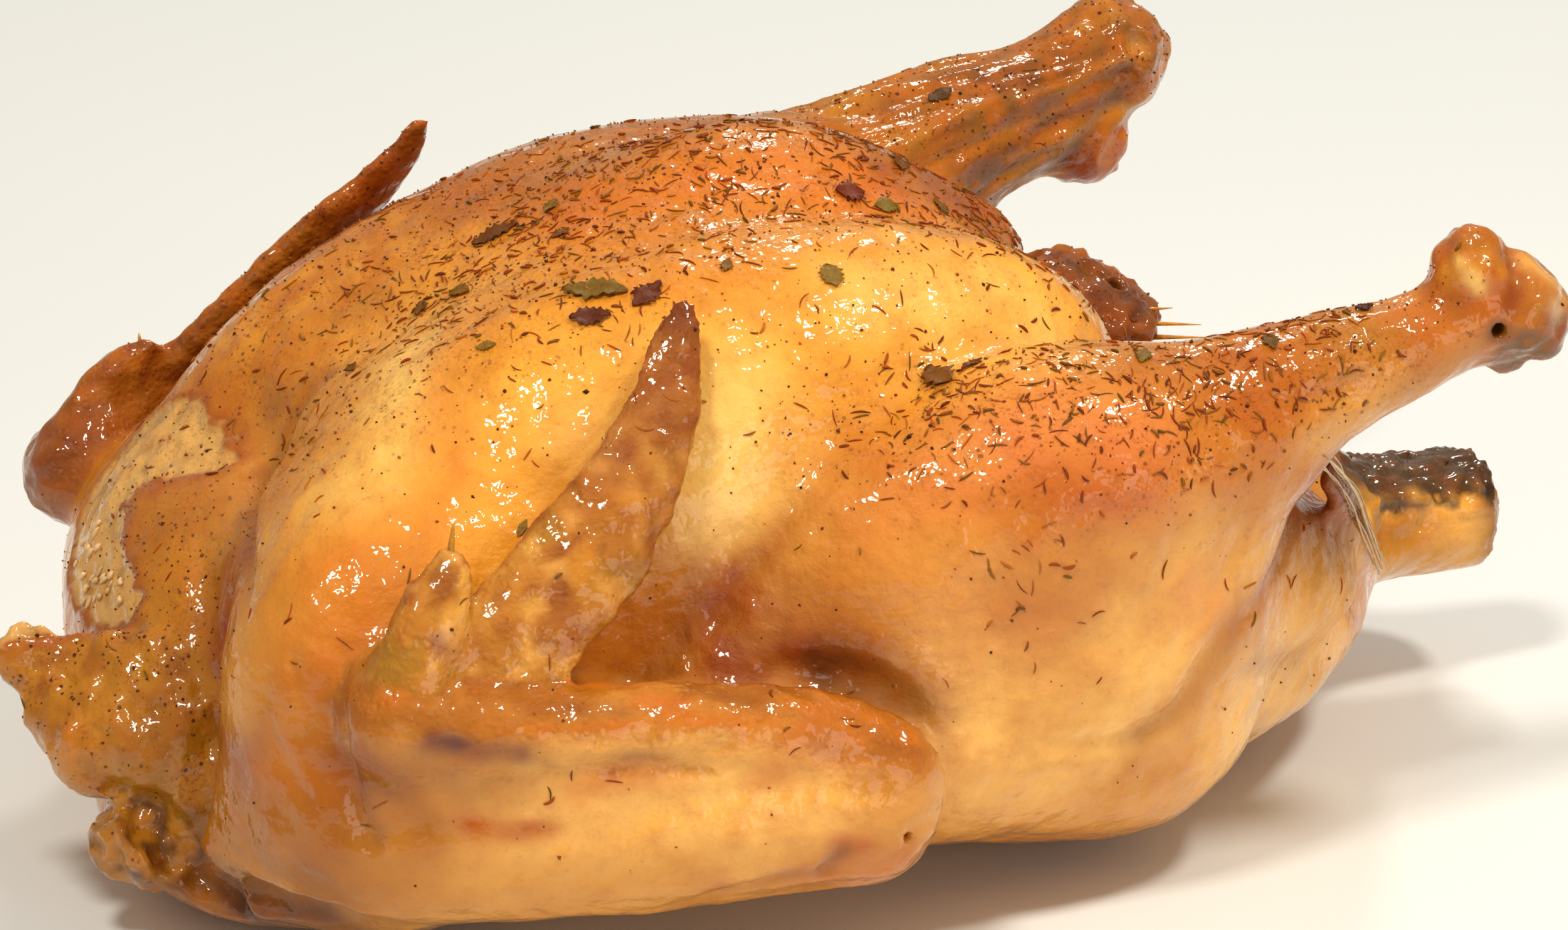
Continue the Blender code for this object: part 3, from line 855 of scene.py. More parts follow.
# Patches of the ankles, painted after their knobs.
ANKLE_PATCHES = (
    (BONE, 0.85, 3, [(148, -121, 143)]),
    (CREAM, 0.80, 2, [(124, -115, 156), (128, -118, 150)]),
    (RED_BROWN, 0.80, 2.6, [(141, -110, 156), (139, -117, 151), (135, -120, 145)]),
    (PALE_GOLD, 0.70, 4, [(145, -112, 152), (150, -116, 146)]),
    (BROWN, 0.60, 3, [(118, -114, 150), (124, -117, 144)]),
    # painted shade in and around the hole through the near ankle
    (CHAR, 0.95, 2.8, [(131.5, -122, 138.5), (133.5, -115, 139.5)]),
    (DARK_BROWN, 0.60, 3, FAR_ANKLE_RING),
    (PALE_TAN, 0.85, 3, [(143, 97, 147)]),
)
# a line in each hollow behind the thigh that also gets painted shade
HOLLOW_SHADE_LINE = ((94, 98, 100), (104, 82, 91), (114, 68, 82))


def paint(colour, weight, tint):
    colour += weight[:, None] * (tint - colour)


def paint_patches(colour, points, patches):
    for tint, strength, width, line in patches:
        paint(colour, strength * nearness(points, line, width), tint)


def paint_skin(colour, points, blotch):
    """The patches of the whole bird, with uneven strength and wandering edges."""
    uneven = np.clip(1 + 0.5 * blotch, 0, 1.3)
    shift = np.stack([noise(points, 0.009, 51 + axis, 2) for axis in range(3)], 1)
    warped = points + 0.0030 * shift
    slightly = points + 0.4 * (warped - points)
    for tint, strength, width, line in PATCHES:
        near = nearness(warped if width > FINE_PATCH else slightly, line, width)
        paint(colour, np.clip(strength * uneven * near, 0, 1), tint)


def paint_wings(colour, points, normals, shapes, blotch, fine):
    """Hands brown and grey, dark along the thin edges; forearms striped; painted shade on the far wing's
    lower parts.
    """
    streaky = noise(flowing(points, ALONG_HAND, 3.0), 0.0045, 26, 2)
    stripes = noise(flowing(points, ALONG_FOREARM, 6.0), 0.004, 24, 2)
    upper = np.clip((normals[:, 2] - 0.05) * 2.5, 0, 1)
    for name, side, _, wing in SIDES:
        hand = hand_cover(points, shapes, name)
        paint(colour, 0.90 * hand, HAND)
        paint(colour, np.clip(hand * 0.9 * blotch, 0, 0.7), OLIVE)
        paint(colour, np.clip(hand * (1.5 * fine - 0.15), 0, 0.65), PALE_TAN)
        paint(colour, np.clip(hand * (-1.8 * streaky - 0.25), 0, 0.75), BROWN)
        paint(colour, np.clip(hand * (-1.2 * blotch - 0.15), 0, 0.6), RED_BROWN)
        facing = np.array(mirrored(HAND_FACING, side))
        thin_edge = np.clip(1 - 1.5 * np.abs(normals @ facing), 0, 1)
        paint(colour, 0.6 * hand * thin_edge, RED_BROWN)
        tip = nearness(points, [station[:3] for station in wing["blade"][-4:]], 12)
        paint(colour, 0.75 * tip * hand, TIP_BROWN)
        paint(colour, 0.6 * nearness(points, [wing["blade"][-1][:3]], 7), DARK_BROWN)
        forearm = covered(points, shapes[f"{name}_forearm"], 0.003)
        paint(colour, forearm * upper * np.clip(0.75 + 0.4 * fine, 0, 1), FOREARM)
        paint(colour, np.clip(forearm * upper * 0.8 * stripes, 0, 0.6), ORANGE)
        paint(colour, np.clip(forearm * upper * -0.8 * stripes, 0, 0.6), BROWN)
    # painted shade: the far wing's forearm, hand and thumb darker towards the bottom
    for part in HAND_AND_ARM:
        low = np.clip((0.132 - points[:, 2]) / 0.025, 0, 1)
        paint(colour, 0.65 * low * covered(points, shapes[f"far_{part}"], 0.003), LOW_WING_SHADE)
    paint_patches(colour, points, HAND_SCORCH)


def paint_legs(colour, points, normals, shapes, blotch, fine):
    """The dried far drumstick with a glassy amber lump at its ankle, and the near ankle, with painted shade
    under its knob.
    """
    dried = covered(points, shapes["far_drumstick"], 0.005) * np.clip((points[:, 0] - 0.035) / 0.02, 0, 1)
    streaks = noise(flowing(points, ALONG_FAR_DRUMSTICK, 9.0), 0.0042, 23, 2)
    paint(colour, 0.85 * dried, DRIED_SKIN)
    paint(colour, np.clip(dried * (0.10 + 1.1 * streaks), 0, 0.80), DRIED_STREAK)
    paint(colour, np.clip(dried * (-0.7 * streaks), 0, 0.6), YELLOW)
    paint(colour, np.clip(dried * 0.8 * blotch, 0, 0.6), BROWN)
    paint_patches(colour, points, FAR_SHANK_PATCHES)
    for knob, reach, strength, tint in KNOB_TONES:
        paint(colour, strength * covered(points, shapes[knob], reach), tint)
    paint_patches(colour, points, NEAR_SHANK_PATCHES)
    for _, knob in knob_covers(points, shapes):
        paint(colour, np.clip(knob * 0.9 * fine, 0, 0.6), YELLOW)
        paint(colour, np.clip(knob * -1.0 * blotch, 0, 0.7), RED_BROWN)
    # painted shade on the downward-facing side of the near ankle's knob
    below = covered(points, shapes["near_ankle_1"], 0.003) * np.clip(0.2 - 1.8 * normals[:, 2], 0, 1)
    paint(colour, 0.9 * below, ANKLE_UNDERSIDE_SHADE)
    paint_patches(colour, points, ANKLE_PATCHES)


def paint_hollow_shade(colour, points, shapes):
    """Painted shade in the hollows behind the thighs, above the rump, and on the skin stretched across
    them.
    """
    above_rump = np.clip((points[:, 2] - 0.068) / 0.010, 0, 1)
    above_rump *= np.clip((0.106 - points[:, 2]) / 0.004, 0, 1)
    beside_tail = np.clip((np.abs(points[:, 1]) - 0.045) / 0.015, 0, 1)
    for name, side, _, _ in SIDES:
        hollow = np.maximum(covered(points, shapes[f"{name}_hollow"], 0.003),
                            covered(points, shapes[f"{name}_stretched_skin"], 0.002))
        hollow = hollow * above_rump * beside_tail
        inner = nearness(points, [mirrored(place, side) for place in HOLLOW_SHADE_LINE], 15)
        # painted shade: the hollows and the stretched skin above the rump are darkened, and so is the line
        # through each hollow
        paint(colour, 0.90 * np.maximum(hollow, inner), HOLLOW_SHADE)


def paint_ends(colour, points, shapes, fine):
    """Neck skin, stump, vent flap and the charred top of the tail."""
    neck = covered(points, shapes["neck_flap"], 0.004)
    paint(colour, 0.8 * neck, NECK)
    paint(colour, np.clip(neck * (0.1 + 0.8 * fine), 0, 0.6), BROWN)
    stump = covered(points, shapes["neck_stump"], 0.003)
    paint(colour, 0.90 * stump, STUMP)
    paint(colour, np.clip(stump * (0.1 + 1.2 * fine), 0, 0.85), DARK_BROWN)
    crusted = covered(points, shapes["vent_flap"], 0.006)
    paint(colour, 0.90 * crusted, CRUST)
    paint(colour, np.clip(crusted * 1.1 * fine, 0, 0.8), LIGHT_CRUST)
    paint_patches(colour, points, VENT_SLIT)
    charred = covered(points, shapes["tail"], 0.004)
    charred = charred * np.clip((points[:, 2] - 0.0525) / 0.0015 + 1.6 * fine, 0, 1)
    charred *= np.clip((points[:, 0] - 0.140) / 0.010, 0, 1)
    paint(colour, 0.92 * charred, CHAR)


def paint_bare_meat(colour, points):
    depth = bare_meat(points)
    edge = np.exp(-(np.minimum(depth, 0) / 0.0024) ** 2) * (depth > -0.5)
    paint(colour, 0.85 * edge, TORN_EDGE)
    paint(colour, np.clip(depth / 0.0010 + 0.5, 0, 1), MEAT)
    paint(colour, np.clip((depth > 0) * 0.6 * -sinews(points), 0, 0.5), GREY_BROWN)


def skin_colours(points, normals, shapes):
    colour = np.tile(TAN, (len(points), 1))
    wide, blotch = noise(points, 0.030, 20, 2), noise(points, 0.011, 21, 3)
    fine = noise(points, 0.005, 22, 2)
    paint(colour, np.clip(0.05 + 0.6 * wide, 0, 0.5), PALE_TAN)
    paint(colour, np.clip(-0.10 - 0.7 * wide, 0, 0.35), DEEP_ORANGE)
    paint_skin(colour, points, blotch)
    paint_wings(colour, points, normals, shapes, blotch, fine)
    paint_legs(colour, points, normals, shapes, blotch, fine)
    paint_hollow_shade(colour, points, shapes)
    paint_ends(colour, points, shapes, fine)
    # Crisp brown on what faces up and away, where the oven's heat reached.
    far_side = np.clip((points[:, 1] + 0.018) / 0.05, 0, 1)
    crisp = 0.50 * far_side * np.clip(normals[:, 2] + 0.35, 0, 1) + 0.6 * fine * far_side
    crisp *= np.clip((points[:, 2] - 0.075) / 0.04, 0, 1)
    paint(colour, np.clip(crisp, 0, 0.75), CRISP)
    paint_bare_meat(colour, points)
    under = np.clip((0.018 - points[:, 2]) / 0.02, 0, 1)
    paint(colour, 0.30 * under, DEEP_ORANGE)
    return np.clip(colour, 0, 1)


RUMP_LINE = ((94, 100, 88), (104, 84, 72), (120, 62, 56))


def skin_masks(points, shapes):
    """Where the skin is speckled with spice, pimpled, and dry."""
    top = np.clip((points[:, 2] - 0.085) / 0.06, 0, 1) * np.clip((points[:, 1] + 0.075) / 0.05, 0, 1)
    calf = nearness(points, [(-10, -100, 135), (50, -115, 130), (100, -108, 140)], 22)
    front = nearness(points, [(-165, 10, 100), (-168, -20, 85)], 22)
    neck = covered(points, shapes["neck_flap"], 0.004)
    spice = np.clip(0.9 * top + 0.8 * calf + 0.6 * front + 0.9 * neck + 0.08, 0, 1)
    dry = np.maximum(covered(points, shapes["far_drumstick"], 0.004) * (points[:, 0] > 0.05),
                     covered(points, shapes["vent_flap"], 0.005))
    # The rump behind the thighs is the driest skin: no oil reached it.
    for side in (NEAR, FAR):
        dry = np.maximum(dry, 2.4 * nearness(points, [mirrored(place, side) for place in RUMP_LINE], 20))
    return {"Spice": spice, "Pimples": wing_cover(points, shapes), "Dry": np.clip(dry, 0, 2)}


def set_values(mesh, name, values):
    layer = mesh.attributes.new(name, "FLOAT", "POINT")
    layer.data.foreach_set("value", values.astype(np.float32))


def set_colours(mesh, name, colours):
    layer = mesh.attributes.new(name, "FLOAT_COLOR", "POINT")
    opaque = np.column_stack([colours, np.ones(len(colours))]).astype(np.float32)
    layer.data.foreach_set("color", opaque.ravel())


# --- materials --------------------------------------------------------------
class Nodes:
    """A material's node tree, with short calls to add a node and link it."""

    def __init__(self, name):
        self.material = bpy.data.materials.new(name)
        self.material.use_nodes = True
        self.tree = self.material.node_tree
        self.surface = self.tree.nodes["Principled BSDF"]

    def add(self, kind, inputs=None, **settings):
        node = self.tree.nodes.new(kind)
        for name, value in settings.items():
            setattr(node, name, value)
        for name, value in (inputs or {}).items():
            self.put(node, name, value)
        return node

    def put(self, node, name, value):
        if isinstance(value, bpy.types.NodeSocket):
            self.tree.links.new(value, node.inputs[name])
        else:
            node.inputs[name].default_value = value

    def attribute(self, name, output="Fac"):
        return self.add("ShaderNodeAttribute", attribute_name=name).outputs[output]

    def noise(self, scale, detail=2.0, roughness=0.5):
        place = self.add("ShaderNodeTexCoord").outputs["Object"]
        return self.add("ShaderNodeTexNoise", {"Vector": place, "Scale": scale, "Detail": detail,
                                               "Roughness": roughness}).outputs["Fac"]

    def cells(self, scale):
        place = self.add("ShaderNodeTexCoord").outputs["Object"]
        return self.add("ShaderNodeTexVoronoi", {"Vector": place, "Scale": scale}).outputs["Distance"]

    def math(self, operation, first, second=0.0, clamp=False):
        return self.add("ShaderNodeMath", {0: first, 1: second}, operation=operation,
                        use_clamp=clamp).outputs[0]

    def ramp(self, value, low, high, start=0.0, end=1.0):
        return self.add("ShaderNodeMapRange", {"Value": value, "From Min": low, "From Max": high,
                                               "To Min": start, "To Max": end}).outputs[0]

    def mix(self, weight, first, second):
        node = self.add("ShaderNodeMix", data_type="RGBA")
        for place, value in ((0, weight), (6, first), (7, second)):
            if isinstance(value, bpy.types.NodeSocket):
                self.tree.links.new(value, node.inputs[place])
            else:
                node.inputs[place].default_value = value if place == 0 else (*value, 1)
        return node.outputs[2]

    def bump(self, height, distance, normal=None):
        node = self.add("ShaderNodeBump", {"Height": height, "Distance": distance, "Strength": 1.0})
        if normal is not None:
            self.tree.links.new(normal, node.inputs["Normal"])
        return node.outputs["Normal"]

    def surface_is(self, **values):
        for name, value in values.items():
            self.put(self.surface, name.replace("_", " "), value)
        return self.material


def skin_material():
    m = Nodes("roasted_skin")
    colour, spice = m.attribute("Colour", "Color"), m.attribute("Spice")
    pimples, dry = m.attribute("Pimples"), m.attribute("Dry")
    mottle = m.ramp(m.noise(130, 5, 0.65), 0.45, 0.75, 0.0, 0.30)
    colour = m.mix(mottle, colour, tuple(DEEP_ORANGE))
    crisp = m.math("MULTIPLY", m.ramp(m.noise(900, 4, 0.7), 0.50, 0.62), m.ramp(m.noise(90, 3), 0.40, 0.62))
    crisp = m.math("MULTIPLY", m.math("MULTIPLY", crisp, spice), 0.75)
    colour = m.mix(crisp, colour, tuple(CRISP_SPECK))
    specks = m.ramp(m.cells(430), 0.16, 0.26, 1.0, 0.0)
    chosen = m.ramp(m.noise(260, 1), 0.52, 0.56)
    specks = m.math("MULTIPLY", m.math("MULTIPLY", specks, chosen), spice, True)
    colour = m.mix(specks, colour, tuple(SPICE_SPECK))
    rough = m.ramp(m.noise(160, 3), 0.35, 0.70, 0.30, 0.48)
    rough = m.math("ADD", rough, m.math("MULTIPLY", dry, 0.12))
    wrinkles = m.bump(m.noise(130, 1, 0.5), 0.0016)
    fine = m.bump(m.noise(500, 4, 0.6), 0.0005, wrinkles)
    dots = m.math("MULTIPLY", m.ramp(m.cells(520), 0.0, 0.55, 1.0, 0.0), pimples)
    fine = m.bump(dots, 0.0003, fine)
    fine = m.bump(specks, 0.0002, fine)
    # The oil on the skin lies smoother than the skin, in beads that sparkle.
    oil = m.bump(m.noise(480, 1, 0.5), 0.00034, wrinkles)
    coat = m.math("SUBTRACT", 0.90, m.math("MULTIPLY", dry, 0.25))
    return m.surface_is(Base_Color=colour, Roughness=rough, Normal=fine, Subsurface_Weight=0.22,
                        Subsurface_Radius=(1.0, 0.42, 0.18), Subsurface_Scale=0.0045,
                        Coat_Weight=coat, Coat_Roughness=0.05, Coat_IOR=1.46, Coat_Normal=oil,
                        IOR=1.42, Specular_IOR_Level=0.20)


def flecked_material(name, roughness=0.5, gloss=0.25, fleck=DARK_BROWN):
    grain, depth = 900, 0.0002
    m = Nodes(name)
    flecks = m.ramp(m.noise(grain, 3), 0.45, 0.75, 0.0, 0.4)
    colour = m.mix(flecks, m.attribute("Colour", "Color"), tuple(fleck))
    return m.surface_is(Base_Color=colour, Roughness=roughness, Specular_IOR_Level=gloss,
                        Subsurface_Weight=0.15, Subsurface_Radius=(1.0, 0.4, 0.1),
                        Subsurface_Scale=0.0006, Normal=m.bump(m.noise(grain * 1.3, 3), depth))


def translucent_material(name, shade, through):
    m = Nodes(name)
    colour = m.mix(m.ramp(m.noise(300, 3), 0.35, 0.65), tuple(shade), tuple(shade * 0.6))
    return m.surface_is(Base_Color=colour, Roughness=0.28, Subsurface_Weight=0.6,
                        Subsurface_Radius=(1.0, 0.6, 0.35), Subsurface_Scale=0.003,
                        Transmission_Weight=through, Coat_Weight=0.4, Coat_Roughness=0.12,
                        Normal=m.bump(m.noise(500, 3), 0.0003))


FLOOR_DARK, FLOOR_LIGHT = (0.84, 0.92, 1.00), (0.86, 0.94, 1.00)


def floor_material():
    m = Nodes("pale_floor")
    colour = m.mix(m.ramp(m.noise(3, 2), 0.3, 0.7), FLOOR_DARK, FLOOR_LIGHT)
    return m.surface_is(Base_Color=colour, Roughness=0.8)


# --- small things on the skin -----------------------------------------------
class Surface:
    """The finished skin, to lay small things on."""

    def __init__(self, piece):
        mesh = piece.data
        mesh.calc_loop_triangles()
        corners = np.empty(len(mesh.loop_triangles) * 3, np.int32)
        mesh.loop_triangles.foreach_get("vertices", corners)
        self.corners = corners.reshape(-1, 3)
        self.points = points_of(mesh)
        self.tree = BVHTree.FromPolygons([tuple(p) for p in self.points], self.corners.tolist())
        a, b, c = (self.points[self.corners[:, i]] for i in range(3))
        across = np.cross(b - a, c - a)
        self.areas = np.linalg.norm(across, axis=1) / 2
        self.middles = (a + b + c) / 3
        self.normals = across / (2 * self.areas[:, None] + 1e-12)

    def scatter(self, weight, number, rng):
        """Places on the skin, more of them where the weight of a triangle is higher."""
        chances = self.areas * weight
        chosen = rng.choice(len(chances), number, p=chances / chances.sum())
        mix = rng.dirichlet((1, 1, 1), number)
        return np.einsum("nk,nkd->nd", mix, self.points[self.corners[chosen]]), self.normals[chosen]

    def laid(self, point, lift):
        """The nearest point of the skin, raised by the lift, and the skin's direction there."""
        place, normal, _, _ = self.tree.find_nearest(point)
        return np.array(place) + lift * np.array(normal), np.array(normal)


def tangent(normal, angle):
    side = np.cross(normal, (0.0, 0.0, 1.0) if abs(normal[2]) < 0.9 else (1.0, 0.0, 0.0))
    side /= np.linalg.norm(side)
    return np.cos(angle) * side + np.sin(angle) * np.cross(normal, side)


class Pile:
    """Many small shapes gathered into one mesh, each with its own colour."""

    def __init__(self):
        self.points, self.faces, self.colours, self.count = [], {3: [], 4: []}, [], 0

    def add(self, points, faces, colour):
        for face in faces:
            self.faces[len(face)].append([index + self.count for index in face])
        self.points.append(points)
        self.colours.append(np.tile(colour, (len(points), 1)))
        self.count += len(points)

    def piece(self, name, material, smooth=True):
        groups = [np.array(group) for group in self.faces.values() if group]
        piece = mesh_from(name, np.vstack(self.points), groups, smooth)
        set_colours(piece.data, "Colour", np.clip(np.vstack(self.colours), 0, 1))
        piece.data.materials.append(material)
        return piece


NEEDLE_SIDES, NEEDLE_RINGS = 4, 5
DILL_NEEDLES = 1900
SPICE_GRAINS = 4500
STRANDS, FIBRES = 7, 26


def needle_faces():
    faces = []
    for ring in range(NEEDLE_RINGS - 1):
        for k in range(NEEDLE_SIDES):
            a, b = ring * NEEDLE_SIDES + k, ring * NEEDLE_SIDES + (k + 1) % NEEDLE_SIDES
            faces.append((a, b, b + NEEDLE_SIDES, a + NEEDLE_SIDES))
    last = (NEEDLE_RINGS - 1) * NEEDLE_SIDES
    faces.append(tuple(reversed(range(NEEDLE_SIDES))))
    faces.append(tuple(range(last, last + NEEDLE_SIDES)))
    return faces


NEEDLE_FACES = needle_faces()


def add_needle(pile, surface, place, normal, length, thickness, angle, bend, colour):
    """A bent bit of dried dill, lying along the skin."""
    forward = tangent(normal, angle)
    across = np.cross(normal, forward)
    points = []
    for t in np.linspace(-0.5, 0.5, NEEDLE_RINGS):
        wanted = place + forward * (t * length) + across * (bend * length * (4 * t * t - 0.5))
        centre, up = surface.laid(wanted, thickness * 0.30)
        half = thickness * (0.5 - 0.35 * abs(2 * t) ** 3)
        beside = np.cross(up, forward)
        beside /= np.linalg.norm(beside)
        for k in range(NEEDLE_SIDES):
            turn = 2 * np.pi * (k + 0.5) / NEEDLE_SIDES
            points.append(centre + half * (np.cos(turn) * beside + np.sin(turn) * up))
    pile.add(np.array(points), NEEDLE_FACES, colour)


HERB_TONES = [tone(code) for code in ("7e3404", "8e3e05", "9c4a08", "6e2a03", "a05c10", "7c5212", "6a4a08")]


def make_dill(surface):
    rng = np.random.default_rng(11)
    middles, normals = surface.middles, surface.normals
    rear_top = nearness(middles, [(-60, -5, 166), (0, -5, 168),
                                  (45, -15, 152)], 36)
    calf = nearness(middles, [(0, -95, 137), (30, -112, 136), (60, -114, 132),
                              (85, -108, 135)], 16)
    thigh = nearness(middles, [(10, -126, 102), (22, -128, 90)], 13)
    front = nearness(middles, [(-110, 5, 142), (-80, -30, 152)], 35)
    weight = (1.1 * rear_top + 1.8 * calf + 0.65 * thigh + 0.35 * front + 0.02) * (normals[:, 2] > -0.1)
    places, ups = surface.scatter(weight * (middles[:, 2] > 0.05), DILL_NEEDLES, rng)
    pile = Pile()
    for place, up in zip(places, ups):
        stout = rng.random() < 0.3
        length = rng.uniform(0.0018, 0.0034) if stout else rng.uniform(0.0020, 0.0050)
        thickness = rng.uniform(0.0006, 0.0009) if stout else rng.uniform(0.0003, 0.00055)
        colour = HERB_TONES[rng.integers(len(HERB_TONES))] * rng.uniform(0.8, 1.6)
        add_needle(pile, surface, place, up, length, thickness, rng.uniform(0, np.pi),
                   rng.uniform(-0.16, 0.16), colour)
    return pile.piece("dried_dill", flecked_material("dried_herb"))


# Leaf bits: place, length, width, colour and angle in turns.
LEAVES = (
    ((-68, -45, 150), 16, 6.5, "7a5c12", 0.15),
    ((-58, -52, 149), 10, 5.5, "642804", 0.32),
    ((-72, -52, 146), 10, 5.5, "5c2404", 0.05),
    ((-75, 6, 156), 12, 5.5, "6a3a08", 0.20),
    ((-92, -10, 150), 8, 4, "805a10", 0.10),
    ((-100, -4, 146), 7, 3.6, "70440a", 0.45),
    ((-60, 4, 160), 6, 3.6, "80601a", 0.35),
    ((-64, -12, 158), 5, 3, "74480c", 0.75),
    ((-95, -45, 140), 5, 2.6, "8a6a1c", 0.60),
    ((-103, -82, 112), 5, 1.8, "8a6a1c", 0.12),
    ((-16, -60, 150), 7.5, 5.5, "86681a", 0.25),
    ((1, -85, 137), 13, 7, "7a4a0c", 0.02),
    ((10, -87, 137), 6, 4, "5e2a06", 0.27),
    ((6, -26, 163), 8.5, 6, "702604", 0.40),
    ((15, -30, 161), 7, 4.5, "7c6418", 0.95),
    ((26, -8, 160), 6, 4, "74480c", 0.55),
    ((-8, 10, 170), 6.5, 3.2, "8a6618", 0.85),
    ((34, -20, 155), 6, 3.5, "78500e", 0.65),
    ((46, -30, 149), 5, 3, "6c400a", 0.15),
    ((54, -36, 145), 5, 3, "643406", 0.80),
    ((46, -104, 139), 6.5, 3.5, "7a5e14", 0.90),
    ((78, -108, 137), 6, 3.2, "6a4a0e", 0.98),
    ((-38, -52, 155), 5, 2.5, "805810", 0.40),
    ((-120, -10, 135), 5.5, 3, "74480c", 0.55),
    ((85, 92, 150), 8, 4.5, "503008", 0.30),
    ((104, -106, 142), 4.5, 3.2, "4a1c04", 0.20),
)
LEAF_ROWS, LEAF_COLUMNS, LEAF_THICKNESS = 13, 5, 0.00020


def add_leaf(pile, surface, place, length, width, colour, turn, rng):
    """A curled flake of leaf: two skins over the same ragged outline."""
    start, normal = surface.laid(place, 0.0)
    forward = tangent(normal, 2 * np.pi * turn)
    across = np.cross(normal, forward)
    rows, columns = LEAF_ROWS, LEAF_COLUMNS
    curl, phase = rng.uniform(0.04, 0.16), rng.uniform(0, 6.28)
    top = []
    for i in range(rows):
        t = i / (rows - 1)
        half = 0.5 * width * np.sin(np.pi * (0.04 + 0.92 * t)) ** 1.2
        half *= 1 + (0.28 if i % 2 else -0.18) + 0.12 * rng.normal()
        for j in range(columns):
            u = 2 * j / (columns - 1) - 1
            wanted = start + forward * (length * (t - 0.5)) + across * (half * u)
            height = 0.0004 + curl * width * (u * u) + 0.05 * width * np.sin(3.0 * t * np.pi + phase)
            spot, _ = surface.laid(wanted, max(height, 0.0002))
            top.append(spot)
    top = np.array(top)
    under = top - normal * LEAF_THICKNESS
    faces, size = [], rows * columns
    for i in range(rows - 1):
        for j in range(columns - 1):
            a = i * columns + j
            faces.append((a, a + 1, a + columns + 1, a + columns))
            faces.append(tuple(size + k for k in (a, a + columns, a + columns + 1, a + 1)))
    rim = list(range(columns)) + [i * columns + columns - 1 for i in range(1, rows)]
    rim += [size - 1 - i for i in range(1, columns)] + [i * columns for i in range(rows - 2, 0, -1)]
    for a, b in zip(rim, rim[1:] + rim[:1]):
        faces.append((b, a, size + a, size + b))
    pile.add(np.vstack([top, under]), faces, colour)


def make_leaves(surface):
    rng, pile = np.random.default_rng(5), Pile()
    for place, length, width, code, turn in LEAVES:
        add_leaf(pile, surface, metres(place), length / PER_METRE, width / PER_METRE, tone(code), turn, rng)
    return pile.piece("leaf_bits", flecked_material("dried_leaf", gloss=0.3))


# Thin tapering bits: each a line of x, y, z, radius.
QUILLS = ([(98, -1, 112, 0.7), (104, -4, 112.5, 0.1)],
          [(98, -3, 109, 0.8), (110, -8, 108.5, 0.1)],
          [(98, -5, 106, 0.8), (112, -10, 105.5, 0.1)],
          [(98, -7, 103, 0.8), (109, -11, 101.5, 0.1)],
          [(-127, -96.5, 112, 1.2), (-126.2, -95.5, 116, 0.8), (-125, -94, 120.5, 0.2)],
          [(-134, 90, 103, 1.4), (-134.5, 90.5, 109.5, 0.2)],
          [(-138, 90, 101, 1.2), (-142, 90, 105, 0.2)])
STRETCHED_EDGE = [(86, -120, 113.5), (99, -103.3, 101.5), (112, -86.5, 88.5), (125, -70, 72.2),
    (138, -53, 55)]


def add_rod(pile, stations, colour, sides=6):
    """A thin round rod through the stations, closed at both ends."""
    path = smooth_path(metres(stations), 4)
    places, radii = path[:, :3], path[:, 3]
    ways = np.gradient(places, axis=0)
    points, faces = [], []
    for place, radius, way in zip(places, radii, ways):
        forward = way / np.linalg.norm(way)
        beside = np.cross(forward, (0.3, 0.2, 0.93))
        beside /= np.linalg.norm(beside)
        above = np.cross(forward, beside)
        for k in range(sides):
            turn = 2 * np.pi * k / sides
            points.append(place + radius * (np.cos(turn) * beside + np.sin(turn) * above))
    for ring in range(len(places) - 1):
        for k in range(sides):
            a, b = ring * sides + k, ring * sides + (k + 1) % sides
            faces.append((a, b, b + sides, a + sides))
    for ring, turn in ((0, 1), (len(places) - 1, -1)):
        middle = ring * sides
        for k in range(1, sides - 1):
            faces.append((middle, middle + k + 1, middle + k)[::turn])
    pile.add(np.array(points), faces, colour)


def make_quills():
    pile = Pile()
    for stations in QUILLS:
        add_rod(pile, stations, QUILL)
    return pile.piece("quills", translucent_material("quill", QUILL_FLESH, 0.1))


def make_strands():
    """Strands of skin stretched from the thigh to the rump."""
    rng, pile = np.random.default_rng(23), Pile()
    edge = np.array(STRETCHED_EDGE)
    for number in range(STRANDS):
        offset = rng.uniform(-1, 1, 3) * (0.6, 0.6, 1.2) * (1 + 0.25 * number)
        offset += (1.2, 2.6, -1)
        sag = rng.uniform(-1.2, 0.8, (len(edge), 3))
        thick = rng.uniform(0.18, 0.4)
        radii = thick * rng.uniform(0.6, 1.3, len(edge))
        add_rod(pile, np.column_stack([edge + offset + sag, radii]), STRAND, 5)
    return pile.piece("skin_strands", translucent_material("stretched_skin", STRETCHED_SKIN, 0.3))


def make_fibres(surface):
    """Torn white fibres where the meat is bare."""
    rng, pile = np.random.default_rng(29), Pile()
    torn_edge = nearness(surface.middles, [(-172, 26, 82), (-175, 12, 77),
                                           (-175, 0, 80)], 6)
    places, ups = surface.scatter(torn_edge ** 2, FIBRES, rng)
    for place, up in zip(places, ups):
        add_needle(pile, surface, place, up, rng.uniform(0.0016, 0.0034), rng.uniform(0.0010, 0.0020),
                   rng.uniform(0, np.pi), rng.uniform(-0.2, 0.2), FIBRE * rng.uniform(0.75, 1.05))
    return pile.piece("torn_fibres", flecked_material("torn_meat", gloss=0.5, roughness=0.4, fleck=MEAT))


SPICE_TONES = [tone(code) for code in ("5a2a0c", "7a3a10", "3a1c0a", "8a5016", "b06a1c")]


